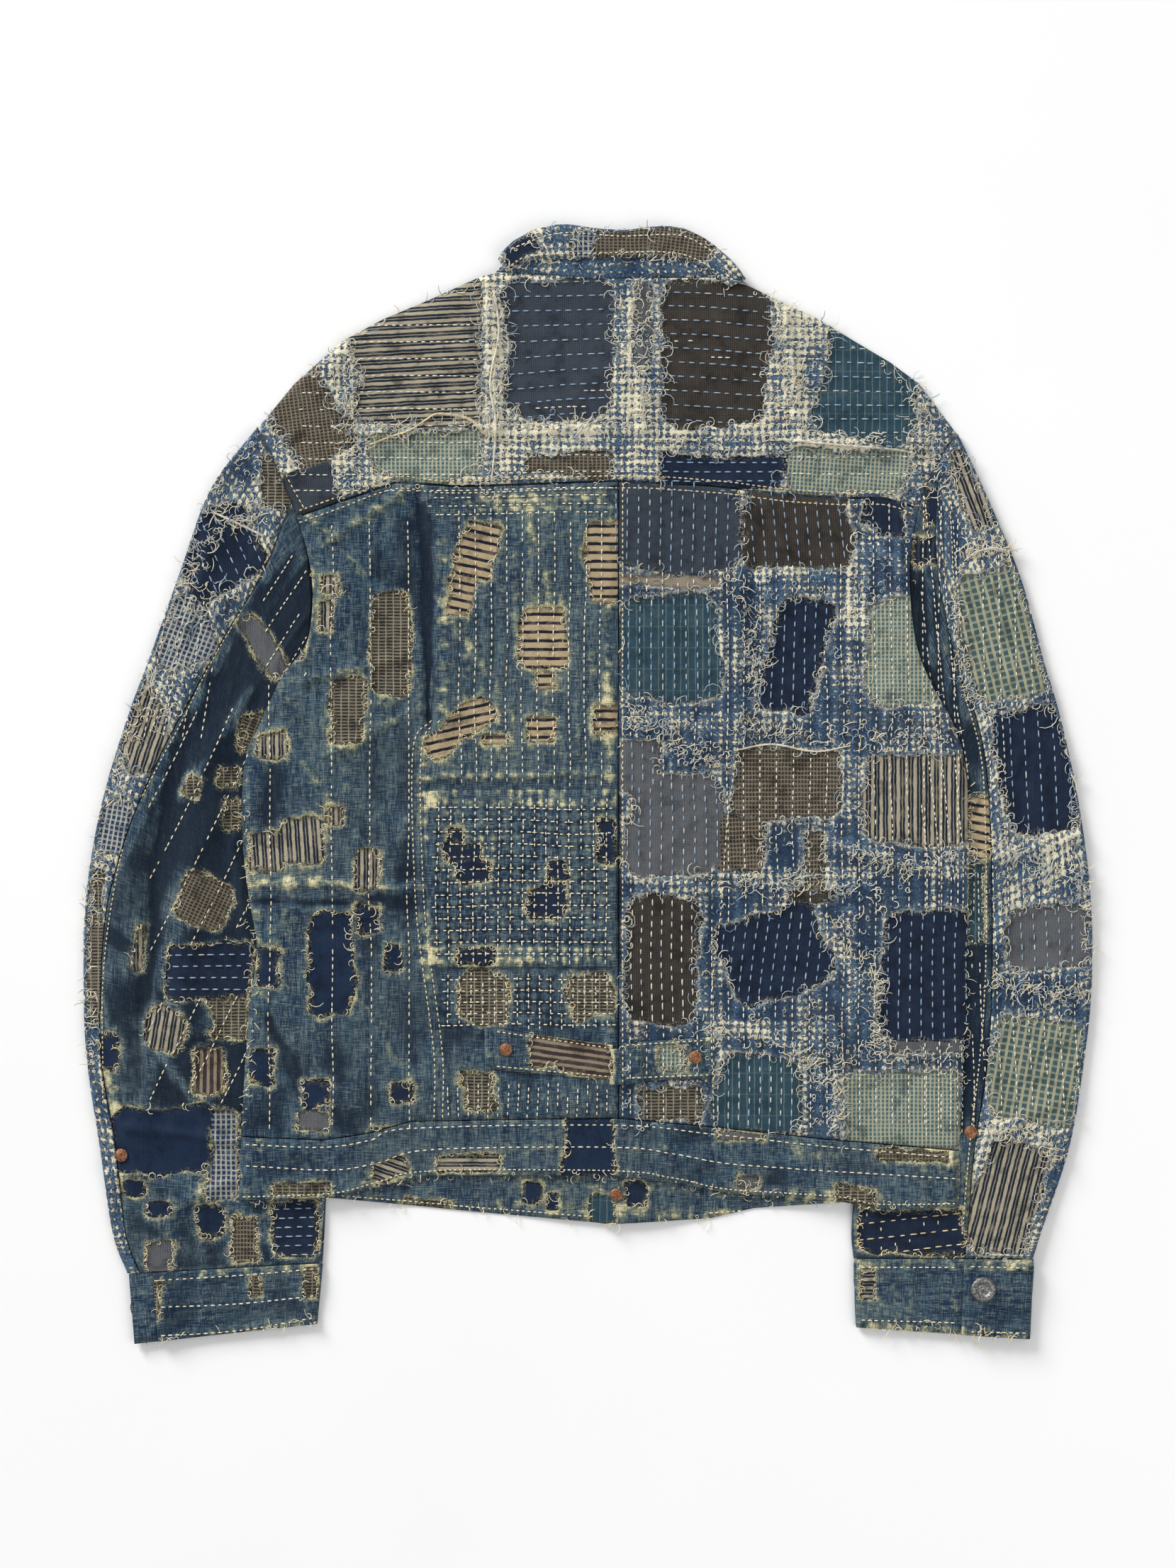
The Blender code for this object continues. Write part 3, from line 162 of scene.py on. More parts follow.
def cloud(plan, size, seed):
    """Smooth seeded noise from -1 to 1: chance numbers on a grid of that size, eased between its corners."""
    table = np.random.default_rng(seed).uniform(-1, 1, (64, 64))
    place = plan / size
    cell = np.floor(place).astype(int)
    t = ease(place - cell)
    x0, y0 = cell[..., 0] % 64, cell[..., 1] % 64
    x1, y1 = (x0 + 1) % 64, (y0 + 1) % 64
    upper = table[x0, y0] * (1 - t[..., 0]) + table[x1, y0] * t[..., 0]
    lower = table[x0, y1] * (1 - t[..., 0]) + table[x1, y1] * t[..., 0]
    return upper * (1 - t[..., 1]) + lower * t[..., 1]


def inner_edge(table, y):
    """Plan distance of a sleeve's inner edge at plan height y."""
    return np.interp(y, table[:, 3], table[:, 2])


def lift_over_sleeves(plan):
    """How far the body is lifted by the sleeves under its sides."""
    x, y = plan[..., 0], plan[..., 1]
    left = ease((inner_edge(LEFT_SLEEVE, y) + 24 + SLEEVE_RAMP - x) / SLEEVE_RAMP)
    right = ease((x - inner_edge(RIGHT_SLEEVE, y) + 24 + SLEEVE_RAMP) / SLEEVE_RAMP)
    below = ease((y - UNDERARM_RAMP[0]) / (UNDERARM_RAMP[1] - UNDERARM_RAMP[0]))
    return SLEEVE_STACK * below * np.maximum(left, right)


def below_neck(plan):
    """0 inside the neck opening and 1 well below it."""
    return ease((plan[..., 1] - NECK_FADE[0]) / (NECK_FADE[1] - NECK_FADE[0]))


def front_level(plan):
    """Underside of the left front, which lies on the sleeves, the collar leaves and the buttons."""
    ring = np.linalg.norm((plan - LEAF_CENTRE) / LEAF_REACH, axis=-1)
    leaves = LEAF_STACK * ease((LEAF_FADE[1] - ring) / (LEAF_FADE[1] - LEAF_FADE[0]))
    strip = ease(1 - (np.abs(plan[..., 0] - BUTTON_LINE) - PLACKET_HALF) / PLACKET_RAMP)
    return lift_over_sleeves(plan) + leaves + BUTTON_STACK * strip * below_neck(plan)


def placket_level(plan):
    """Underside of the right front, which laps over the left one."""
    lap = ease(1 - (plan[..., 0] - PLACKET_EDGE) / PLACKET_RAMP)
    return front_level(plan) + (FRONT_WALL + LAYER_GAP) * lap * below_neck(plan)


def panel_grid(lines, top, bottom, step=GRID_STEP):
    """Fine plan grid between lines that run down a panel, its first and last rows moved onto two edges."""
    ends = [even(line, np.array((0.0, 1.0))) for line in lines]
    length = max(np.linalg.norm(end[1] - end[0]) for end in ends)
    rows = np.linspace(0, 1, COARSE * max(2, round(length / step / COARSE)) + 1)
    read = [even(line, rows) for line in lines]
    width = [np.linalg.norm(b - a, axis=1).max() for a, b in zip(read[:-1], read[1:])]
    count = COARSE * max(2, round(sum(width) / step / COARSE)) + 1
    place = np.interp(np.linspace(0, sum(width), count), np.concatenate([[0], np.cumsum(width)]),
                      range(len(lines)))
    start = np.minimum(place.astype(int), len(lines) - 2)
    read = np.stack(read, 1)
    share = (place - start)[None, :, None]
    grid = read[:, start] * (1 - share) + read[:, start + 1] * share
    fade = rows[:, None]
    if top is not None:
        grid[:, :, 1] += (height_at(top, grid[0, :, 0]) - grid[0, :, 1]) * (1 - fade)
    if bottom is not None:
        grid[:, :, 1] += (height_at(bottom, grid[-1, :, 0]) - grid[-1, :, 1]) * fade
    pull = SEAM_GAP / PLAN_STEP
    for edge, inside in ((grid[0], grid[1]), (grid[-1], grid[-2]), (grid[:, 0], grid[:, 1]),
                         (grid[:, -1], grid[:, -2])):
        way = inside - edge
        edge += way / np.maximum(np.linalg.norm(way, axis=-1, keepdims=True), 1e-6) * pull
    return grid


def window_field(plan, windows):
    """Distance in mm inside the nearest ragged window, negative outside, and the number of that window.

    Each window is a rounded box in plan units; seeded noise of several sizes makes its edge ragged."""
    best = np.full(plan.shape[:-1], -60.0)
    which = np.zeros(plan.shape[:-1], int)
    ragged = sum(cloud(plan, size, 40 + k) * reach for k, (size, reach) in enumerate(RAGGED))
    for number, (left, top, right, bottom, turn, *_) in enumerate(windows):
        width, height = right - left, bottom - top
        c, s = math.cos(math.radians(turn)), math.sin(math.radians(turn))
        reach = plan - ((left + right) / 2, (top + bottom) / 2)
        across = np.abs(reach[..., 0] * c + reach[..., 1] * s)
        down = np.abs(reach[..., 1] * c - reach[..., 0] * s)
        corner = 0.2 * min(width, height)
        over = np.stack([across - width / 2 + corner, down - height / 2 + corner], -1)
        outside = np.linalg.norm(np.maximum(over, 0), axis=-1) + np.minimum(over.max(-1), 0) - corner
        inside = -outside + ragged * min(1.0, min(width, height) / 46.0)
        closer = inside > best
        best = np.where(closer, inside, best)
        which = np.where(closer, number, which)
    return best * PLAN_STEP * 1000, which


CREASE_END = 18


def beside(plan, x0, y0, x1, y1):
    """Place of plan points against a line: distance to its side, way down it, and how far past its ends."""
    run = np.array((x1 - x0, y1 - y0), float)
    length = np.linalg.norm(run)
    run /= length
    reach = plan - (x0, y0)
    down = reach @ run
    side = reach[..., 1] * run[0] - reach[..., 0] * run[1]
    return side, down, np.maximum(np.maximum(-down, down - length), 0)


def crease_height(creases, plan):
    """Height of soft ridges and troughs. Columns: x0, y0, x1, y1, half width, height in metres."""
    total = np.zeros(plan.shape[:-1])
    for *line, width, height in creases:
        side, _, past = beside(plan, *line)
        side = cloud(plan, 40.0, int(line[0])) * 3 - side
        past = past / CREASE_END
        total += height * np.exp(-((side / width) ** 2) - past**2)
    return total


def new_mesh(name, vertices, counts, corners):
    """A mesh from arrays: places, corners of each face, and the vertex at each corner."""
    mesh = bpy.data.meshes.new(name)
    mesh.vertices.add(len(vertices))
    mesh.vertices.foreach_set("co", np.ascontiguousarray(vertices, np.float32).ravel())
    mesh.loops.add(len(corners))
    mesh.loops.foreach_set("vertex_index", np.ascontiguousarray(corners, np.int32))
    mesh.polygons.add(len(counts))
    starts = np.concatenate([[0], np.cumsum(counts)[:-1]]).astype(np.int32)
    mesh.polygons.foreach_set("loop_start", starts)
    mesh.update(calc_edges=True)
    mesh.shade_smooth()
    piece = bpy.data.objects.new(name, mesh)
    bpy.context.scene.collection.objects.link(piece)
    return piece


def closed_sheet(name, outer, inner):
    """A closed thin shell: a fine outer grid, a coarser inner one, and faces that join their rims."""
    rows, columns = outer.shape[:2]
    inner = inner[::COARSE, ::COARSE]
    fewer_rows, fewer = inner.shape[:2]
    top = np.arange(rows * columns).reshape(rows, columns)
    low = np.arange(fewer_rows * fewer).reshape(fewer_rows, fewer) + rows * columns
    quads = np.stack([top[:-1, :-1], top[1:, :-1], top[1:, 1:], top[:-1, 1:]], -1).reshape(-1, 4)
    under = np.stack([low[:-1, :-1], low[:-1, 1:], low[1:, 1:], low[1:, :-1]], -1).reshape(-1, 4)
    rims = []
    for fine, rough in ((top[0], low[0]), (top[:, -1], low[:, -1]), (top[-1, ::-1], low[-1, ::-1]),
                        (top[::-1, 0], low[::-1, 0])):
        steps = np.arange(len(rough) - 1)
        strip = fine[steps[:, None] * COARSE + np.arange(COARSE + 1)]
        rims.append(np.hstack([strip, rough[1:, None], rough[:-1, None]]))
    rims = np.vstack(rims)
    vertices = np.vstack([outer.reshape(-1, 3), inner.reshape(-1, 3)])
    a, b, c = vertices[quads[:, 0]], vertices[quads[:, 1]], vertices[quads[:, 2]]
    low_a, low_b, low_c = vertices[under[:, 0]], vertices[under[:, 1]], vertices[under[:, 2]]
    middle = vertices.mean(0)
    volume = np.einsum("ij,ij->", a - middle, np.cross(b - middle, c - middle))
    volume += np.einsum("ij,ij->", low_a - middle, np.cross(low_b - middle, low_c - middle))
    if volume < 0:
        quads, under, rims = quads[:, ::-1], under[:, ::-1], rims[:, ::-1]
    counts = np.concatenate([np.full(len(quads), 4), np.full(len(under), 4),
                             np.full(len(rims), rims.shape[1])])
    corners = np.concatenate([quads.ravel(), under.ravel(), rims.ravel()])
    return new_mesh(name, vertices, counts, corners), quads


def wire(tree, kind, *inputs, **settings):
    """A shader node with its settings; each input is a socket to join or a number to set."""
    node = tree.nodes.new(kind)
    for label, value in settings.items():
        setattr(node, label, value)
    for socket, value in zip(node.inputs, inputs):
        join(tree, socket, value)
    return node


def join(tree, socket, value):
    """Joins a socket to another, sets its number, or leaves it if the value is None."""
    if isinstance(value, bpy.types.NodeSocket):
        tree.links.new(value, socket)
    elif value is not None:
        if socket.type == "RGBA" and len(value) == 3:
            value = (*value, 1.0)
        socket.default_value = value


def calc(tree, operation, first, second=0.5, third=0.5):
    """A Math node."""
    return wire(tree, "ShaderNodeMath", first, second, third, operation=operation).outputs[0]


def blend(tree, share, first, second, mode="MIX"):
    """A colour mix of first and second by share."""
    node = tree.nodes.new("ShaderNodeMix")
    node.data_type = "RGBA"
    node.blend_type = mode
    for place, value in ((0, share), (6, first), (7, second)):
        join(tree, node.inputs[place], value)
    return node.outputs[2]


def span(tree, value, low, high, to_low=0.0, to_high=1.0):
    """Value taken softly from the range low to high to another range."""
    node = wire(tree, "ShaderNodeMapRange", value, low, high, to_low, to_high,
                interpolation_type="SMOOTHSTEP")
    return node.outputs[0]


def noise(tree, vector, scale, detail=3.0, rough=0.55):
    """A noise value at a scale in cycles for each metre."""
    return wire(tree, "ShaderNodeTexNoise", vector, None, scale, detail, rough).outputs[0]


def scaled(tree, vector, scale):
    """A vector times another."""
    return wire(tree, "ShaderNodeVectorMath", vector, scale, operation="MULTIPLY").outputs[0]


def group(name, inputs, outputs):
    """A new shader node group with those sockets, and its inner ends."""
    tree = bpy.data.node_groups.new(name, "ShaderNodeTree")
    for label, kind in inputs:
        tree.interface.new_socket(label, in_out="INPUT", socket_type="NodeSocket" + kind)
    for label, kind in outputs:
        tree.interface.new_socket(label, in_out="OUTPUT", socket_type="NodeSocket" + kind)
    return tree, tree.nodes.new("NodeGroupInput").outputs, tree.nodes.new("NodeGroupOutput").inputs


def use(tree, inner, *inputs):
    """The outputs of a node group with those inputs."""
    node = tree.nodes.new("ShaderNodeGroup")
    node.node_tree = inner
    for socket, value in zip(node.inputs, inputs):
        join(tree, socket, value)
    return node.outputs


def make_ragged():
    """Group: how open a window is, from its distance in mm with noise, how frayed its edge is, and the
    painted shade inside its torn edge.
    """
    tree, got, give = group("ragged_edge", (("Vector", "Vector"), ("Edge", "Float")),
                            (("Open", "Float"), ("Fray", "Float"), ("Shade", "Float")))
    rough = calc(tree, "SUBTRACT", noise(tree, got[0], 520.0, 4.0, 0.7), 0.5)
    edge = calc(tree, "MULTIPLY_ADD", rough, 5.0, got[1])
    tree.links.new(span(tree, edge, -0.15, 0.15), give[0])
    patchy = span(tree, noise(tree, got[0], 90.0, 3.0), 0.40, 0.60, 0.10, 1.0)
    strands = calc(tree, "ABSOLUTE", calc(tree, "SUBTRACT", noise(tree, got[0], 330.0, 2.0), 0.5))
    near = span(tree, calc(tree, "ABSOLUTE", calc(tree, "ADD", edge, 0.3)), 0.8, 0.1)
    far = span(tree, calc(tree, "ABSOLUTE", edge), 4.0, 0.4)
    fray = calc(tree, "MAXIMUM", near, calc(tree, "MULTIPLY", span(tree, strands, 0.05, 0.01), far))
    tree.links.new(calc(tree, "MULTIPLY", fray, patchy), give[1])
    # Shade: painted shadow of the torn edge, darkest at the edge and gone 3 mm inside the window
    tree.links.new(span(tree, edge, 3.0, 0.0, 0.0, 0.75), give[2])
    return tree


def make_indigo():
    """Group: worn indigo twill. Wear takes the blue to pale, yellowed cream, and wear below zero takes it
    near black, partly darker cloth and partly painted shade; slubs run down the cloth.
    """
    tree, got, give = group("worn_indigo", (("Vector", "Vector"), ("Wear", "Float")),
                            (("Color", "Color"), ("Height", "Float")))
    broad = span(tree, noise(tree, got[0], 9.0, 3.0, 0.6), 0.38, 0.62)
    cloudy = span(tree, noise(tree, got[0], 42.0, 4.0, 0.6), 0.40, 0.64)
    mottled = noise(tree, got[0], 170.0, 5.0, 0.7)
    streaks = noise(tree, scaled(tree, got[0], (1.0, 0.07, 1.0)), 260.0, 3.0, 0.6)
    slub = noise(tree, scaled(tree, got[0], (1.0, 0.09, 1.0)), 1300.0, 2.0)
    across = noise(tree, scaled(tree, got[0], (0.09, 1.0, 1.0)), 1300.0, 2.0)
    weave = calc(tree, "MULTIPLY", calc(tree, "ADD", slub, across), 0.5)
    colour = blend(tree, cloudy, (0.007, 0.028, 0.066), (0.030, 0.074, 0.118))
    colour = blend(tree, calc(tree, "MULTIPLY", broad, 0.55), colour, (0.064, 0.100, 0.120))
    colour = blend(tree, span(tree, streaks, 0.50, 0.64, 0.0, 0.6), colour, (0.095, 0.142, 0.160))
    colour = blend(tree, span(tree, streaks, 0.48, 0.36, 0.0, 0.6), colour, (0.004, 0.017, 0.044))
    colour = blend(tree, span(tree, mottled, 0.53, 0.72, 0.0, 0.60), colour, (0.190, 0.230, 0.205))
    colour = blend(tree, span(tree, mottled, 0.47, 0.34, 0.0, 0.65), colour, (0.004, 0.018, 0.046))
    colour = blend(tree, span(tree, weave, 0.50, 0.62, 0.0, 0.5), colour, (0.230, 0.265, 0.235))
    worn = calc(tree, "MULTIPLY_ADD", calc(tree, "SUBTRACT", mottled, 0.5), 2.2, got[1])
    colour = blend(tree, span(tree, worn, 0.18, 0.62, 0.0, 0.62), colour, (0.215, 0.245, 0.165))
    colour = blend(tree, span(tree, worn, 0.50, 1.00, 0.0, 0.95), colour, (0.68, 0.62, 0.37))
    # Painted shade with some darker cloth tone: wear below zero, from crease troughs, the sleeves beside the
    # body and darker pieces, takes the blue near black
    colour = blend(tree, span(tree, got[1], -0.02, -0.50, 0.0, 0.9), colour, (0.003, 0.010, 0.023))
    colour = blend(tree, span(tree, weave, 0.50, 0.38, 0.0, 0.7), colour, (0.004, 0.014, 0.032))
    tree.links.new(colour, give[0])
    tree.links.new(calc(tree, "MULTIPLY_ADD", mottled, 0.8, weave), give[1])
    return tree


def make_gauze():
    """Group: loose looped gauze. Cream loops in open plaid bands on blue yarns, with darker blue between;
    wear below zero, partly painted shade, takes it to deep blue.
    """
    tree, got, give = group("looped_gauze", (("Vector", "Vector"), ("Wear", "Float")),
                            (("Color", "Color"), ("Height", "Float")))
    drift = wire(tree, "ShaderNodeTexNoise", got[0], None, 110.0, 3.0, 0.6).outputs[1]
    shift = wire(tree, "ShaderNodeVectorMath", drift, (0.0052, 0.0052, 0.0), got[0],
                 operation="MULTIPLY_ADD").outputs[0]
    parts = wire(tree, "ShaderNodeSeparateXYZ", shift).outputs
    bands = []
    for part, pitch in ((parts[0], 0.0300), (parts[1], 0.0364)):
        turn = calc(tree, "FRACT", calc(tree, "DIVIDE", part, pitch))
        bands.append(span(tree, calc(tree, "ABSOLUTE", calc(tree, "SUBTRACT", turn, 0.5)), 0.24, 0.44))
    waves = [calc(tree, "SINE", calc(tree, "MULTIPLY", part, 2 * math.pi / pitch)) for part, pitch in
             ((parts[0], 0.0050), (parts[1], 0.0052))]
    dots = calc(tree, "MULTIPLY_ADD", calc(tree, "ADD", waves[0], waves[1]), 0.25, 0.5)
    rough = noise(tree, got[0], 620.0, 4.0, 0.75)
    blobs = calc(tree, "MULTIPLY_ADD", calc(tree, "SUBTRACT", rough, 0.5), 2.8, dots)
    region = span(tree, noise(tree, got[0], 34.0, 3.0, 0.6), 0.40, 0.62)
    pale = calc(tree, "MULTIPLY_ADD", calc(tree, "ADD", bands[0], bands[1]), 0.15,
                calc(tree, "MULTIPLY", region, 0.34))
    # Wear below zero, partly painted shade, makes the gauze less pale
    pale = calc(tree, "MULTIPLY_ADD", calc(tree, "MAXIMUM", got[1], -0.45), 0.42, pale)
    cut = calc(tree, "SUBTRACT", 0.95, pale)
    curls = calc(tree, "ABSOLUTE", calc(tree, "SUBTRACT", noise(tree, shift, 420.0, 2.0, 0.6), 0.5))
    loops = span(tree, curls, 0.030, 0.008)
    colour = blend(tree, span(tree, noise(tree, got[0], 70.0, 4.0, 0.65), 0.35, 0.65), (0.008, 0.030, 0.078),
                   (0.044, 0.104, 0.185))
    colour = blend(tree, span(tree, rough, 0.46, 0.64, 0.0, 0.7), colour, (0.120, 0.200, 0.290))
    colour = blend(tree, span(tree, rough, 0.47, 0.34, 0.0, 0.85), colour, (0.004, 0.014, 0.042))
    light = span(tree, calc(tree, "SUBTRACT", blobs, cut), -0.06, 0.10, 0.0, 0.92)
    colour = blend(tree, light, colour, (0.78, 0.71, 0.49))
    colour = blend(tree, calc(tree, "MULTIPLY", loops, calc(tree, "MULTIPLY_ADD", pale, 1.5, 0.15)), colour,
                   (0.62, 0.64, 0.58))
    # Painted shade with some darker cloth tone: wear below zero, from crease troughs, the sleeves beside the
    # body and the darker right back, takes the gauze to deep blue
    colour = blend(tree, span(tree, got[1], -0.05, -0.75, 0.0, 0.8), colour, (0.010, 0.026, 0.060))
    tree.links.new(colour, give[0])
    tree.links.new(calc(tree, "MAXIMUM", loops, calc(tree, "MULTIPLY_ADD", light, 0.8,
                                                     calc(tree, "MULTIPLY", rough, 0.4))), give[1])
    return tree


def make_yarns():
    """Group: stripes across and along the cloth, each with pitch and share, as one mask, and the weave."""
    tree, got, give = group("yarn_stripes", (("Vector", "Vector"), ("Pitch U", "Float"),
                                             ("Share U", "Float"),
                            ("Pitch V", "Float"), ("Share V", "Float"), ("Thin", "Float")),
                            (("Mask", "Float"), ("Weave", "Float")))
    wobble = wire(tree, "ShaderNodeTexNoise", got[0], None, 160.0, 2.0).outputs[1]
    shift = wire(tree, "ShaderNodeVectorMath", wobble, (0.0012, 0.0012, 0.0), got[0],
                 operation="MULTIPLY_ADD").outputs[0]
    parts = wire(tree, "ShaderNodeSeparateXYZ", shift).outputs
    masks = []
    for part, pitch, share, line in ((parts[0], got[1], got[2], -1.0), (parts[1], got[3], got[4], got[5])):
        turn = calc(tree, "FRACT", calc(tree, "DIVIDE", part, pitch))
        from_line = calc(tree, "MULTIPLY", calc(tree, "ABSOLUTE", calc(tree, "SUBTRACT", turn, 0.5)), 2.0)
        band = span(tree, calc(tree, "SUBTRACT", share, from_line), -0.07, 0.07)
        thin = span(tree, calc(tree, "ADD", from_line, line), 0.96, 1.04, 0.0, 0.65)
        masks.append(calc(tree, "MAXIMUM", band, thin))
    both = calc(tree, "MULTIPLY", calc(tree, "ADD", masks[0], masks[1]), 0.62)
    mask = calc(tree, "MINIMUM", calc(tree, "MAXIMUM", both, calc(tree, "MULTIPLY", masks[0], 0.95)), 1.0)
    tree.links.new(mask, give[0])
    fine = []
    for part in parts[:2]:
        fine.append(calc(tree, "SINE", calc(tree, "MULTIPLY", part, 2 * math.pi / 0.0011)))
    tree.links.new(calc(tree, "MULTIPLY_ADD", calc(tree, "MULTIPLY", fine[0], fine[1]), 0.5, 0.5), give[1])
    return tree


RAGGED_EDGE = make_ragged()
TOPS = {"denim": make_indigo(), "gauze": make_gauze()}
YARNS = make_yarns()
# Patch cloths. Columns: pitch across and its share, pitch along and its share, thin line, dark yarn,
# light yarn
WEAVES = {
    "slate": (0.0013, 0.3, 0.0013, 0.3, -1.0, (0.026, 0.036, 0.054), (0.078, 0.096, 0.122)),
    "brown": (0.0013, 0.3, 0.0013, 0.3, -1.0, (0.022, 0.018, 0.015), (0.098, 0.082, 0.068)),
    "navy": (0.0012, 0.4, 0.0012, 0.2, -1.0, (0.004, 0.010, 0.030), (0.015, 0.036, 0.082)),
    "blue": (0.0011, 0.5, 0.0011, 0.1, -1.0, (0.003, 0.012, 0.040), (0.012, 0.036, 0.088)),
    "teal": (0.0052, 0.12, 0.0150, 0.03, -1.0, (0.026, 0.074, 0.108), (0.170, 0.225, 0.210)),
    "grey": (0.0012, 0.4, 0.0012, 0.4, -1.0, (0.080, 0.086, 0.098), (0.180, 0.188, 0.200)),
    "tan": (0.0012, 0.4, 0.0012, 0.4, -1.0, (0.250, 0.205, 0.155), (0.470, 0.400, 0.300)),
    "stripe": (9.0, 0.0, 0.0060, 0.38, 0.12, (0.006, 0.018, 0.036), (0.860, 0.740, 0.520)),
    "wide_stripe": (9.0, 0.0, 0.0062, 0.64, -1.0, (0.008, 0.012, 0.026), (0.960, 0.740, 0.430)),
    "thin_stripe": (0.0030, 0.3, 0.0023, 0.46, -1.0, (0.030, 0.024, 0.020), (0.270, 0.230, 0.165)),
    "teal_check": (0.0029, 0.40, 0.0029, 0.38, -1.0, (0.080, 0.160, 0.175), (0.540, 0.530, 0.370)),
    "wide_check": (0.0054, 0.36, 0.0048, 0.34, -1.0, (0.062, 0.125, 0.140), (0.500, 0.480, 0.310)),
    "brown_check": (0.0052, 0.16, 0.0023, 0.48, -1.0, (0.024, 0.022, 0.021), (0.370, 0.325, 0.230)),
    "net": (0.0036, 0.34, 0.0036, 0.34, -1.0, (0.014, 0.045, 0.115), (0.560, 0.550, 0.460)),
    "rust_stripe": (9.0, 0.0, 0.0048, 0.44, -1.0, (0.050, 0.032, 0.032), (0.520, 0.430, 0.290)),
    "cord": (9.0, 0.0, 0.0034, 0.50, -1.0, (0.006, 0.012, 0.028), (0.040, 0.068, 0.115)),
}
CLOTHS = {}


def cloth_material(top, weave):
    """Worn top cloth, and where a window is open the patch cloth below it, made once for each pair."""
    label = f"{top}_over_{weave}"
    if label in CLOTHS:
        return CLOTHS[label]
    material = bpy.data.materials.new(label)
    material.use_nodes = True
    tree = material.node_tree
    shader = tree.nodes["Principled BSDF"]
    flat = wire(tree, "ShaderNodeAttribute", attribute_name="flat").outputs["Vector"]
    edge = wire(tree, "ShaderNodeAttribute", attribute_name="edge").outputs["Fac"]
    wear_and_shade = wire(tree, "ShaderNodeAttribute", attribute_name="wear_and_shade").outputs["Fac"]
    top_colour, top_height = use(tree, TOPS[top], flat, wear_and_shade)
    colour, height = top_colour, top_height
    if weave != "none":
        pitch_u, share_u, pitch_v, share_v, thin, dark, light = WEAVES[weave]
        turned = wire(tree, "ShaderNodeUVMap", uv_map="patch").outputs[0]
        mask, fine = use(tree, YARNS, turned, pitch_u, share_u, pitch_v, share_v, thin)
        patch = blend(tree, mask, dark, light)
        patch = blend(tree, span(tree, fine, 0.2, 0.9, 0.0, 0.28), patch, [value * 0.45 for value in dark])
        mottled = noise(tree, flat, 70.0, 5.0, 0.65)
        patch = blend(tree, span(tree, mottled, 0.50, 0.34, 0.0, 0.6), patch,
                      [value * 0.4 for value in dark])
        worn = span(tree, mottled, 0.50, 0.72, 0.0, 0.30)
        patch = blend(tree, worn, patch, [0.45 * a + 0.55 * b + 0.03 for a, b in zip(dark, light)])
        opened, fray, shade = use(tree, RAGGED_EDGE, flat, edge)
        # Painted shadow of the torn top cloth on the patch just inside the window
        patch = blend(tree, shade, patch, [value * 0.25 for value in dark])
        colour = blend(tree, opened, top_colour, patch)
        yarn = (0.52, 0.48, 0.27) if top == "denim" else (0.50, 0.50, 0.42)
        colour = blend(tree, calc(tree, "MULTIPLY", fray, 0.85), colour, yarn)
        raised = calc(tree, "MULTIPLY_ADD", fray, 0.8, calc(tree, "MULTIPLY", fine, 0.5))
        height = wire(tree, "ShaderNodeMix", opened, None, top_height, raised).outputs[0]
    bump = wire(tree, "ShaderNodeBump", 1.0, 0.0012, None, height)
    tree.links.new(bump.outputs[0], shader.inputs["Normal"])
    tree.links.new(colour, shader.inputs["Base Color"])
    shader.inputs["Roughness"].default_value = 0.92
    shader.inputs["Specular IOR Level"].default_value = 0.2
    shader.inputs["Sheen Weight"].default_value = 0.04
    shader.inputs["Sheen Roughness"].default_value = 0.6
    CLOTHS[label] = material
    return material


# Bleached blocks along seams and bars. Columns: x0, y0, x1, y1, half width, pitch of the blocks, strength
BLEACHED = (
    (600, 1127, 870, 1125, 13, 15.0, 0.75), (606, 1350, 870, 1350, 13, 16.0, 0.8),
    (346, 1243, 592, 1247, 9, 33.0, 0.42), (603, 1127, 622, 1127, 11, 60.0, 1.2),
    (606, 1349, 628, 1349, 12, 60.0, 1.2), (606, 712, 868, 706, 13, 24.0, 0.7),
    (596, 1040, 598, 1360, 9, 21.0, 0.7), (624, 760, 622, 1010, 8, 30.0, 0.6),
    (858, 700, 858, 1570, 9, 18.0, 0.45), (606, 1370, 622, 1560, 9, 22.0, 0.5),
    (345, 1614, 1350, 1630, 9, 31.0, 0.45), (345, 1684, 600, 1660, 9, 24.0, 0.55),
    (600, 1655, 1350, 1698, 9, 27.0, 0.55), (375, 790, 150, 1250, 9, 34.0, 0.6),
    (350, 1090, 366, 1400, 8, 40.0, 0.5), (136, 1400, 176, 1640, 10, 33.0, 0.7),
    (200, 1800, 450, 1788, 7, 30.0, 0.6), (196, 1890, 446, 1866, 7, 26.0, 0.7),
    (1210, 1784, 1450, 1784, 7, 30.0, 0.6), (1210, 1872, 1450, 1884, 7, 26.0, 0.7),
    (700, 1700, 1060, 1716, 9, 25.0, 0.6), (450, 760, 600, 690, 14, 33.0, 0.5),
    (898, 440, 896, 606, 18, 12.0, 1.0), (690, 612, 1120, 606, 13, 13.0, 1.1),
    (1112, 450, 1130, 640, 16, 12.0, 0.9), (696, 420, 698, 640, 12, 12.0, 0.8),
    (1040, 812, 1240, 770, 16, 12.0, 0.8), (1210, 800, 1206, 900, 14, 11.0, 0.9),
    (1050, 1236, 1230, 1240, 14, 12.0, 0.8), (1000, 1452, 1190, 1460, 16, 12.0, 0.9),
    (1196, 1280, 1204, 1440, 12, 12.0, 0.8), (1046, 900, 1052, 1040, 12, 12.0, 0.8),
    (880, 1014, 1030, 1020, 12, 12.0, 0.5), (1400, 1200, 1540, 1190, 16, 12.0, 0.8),
)
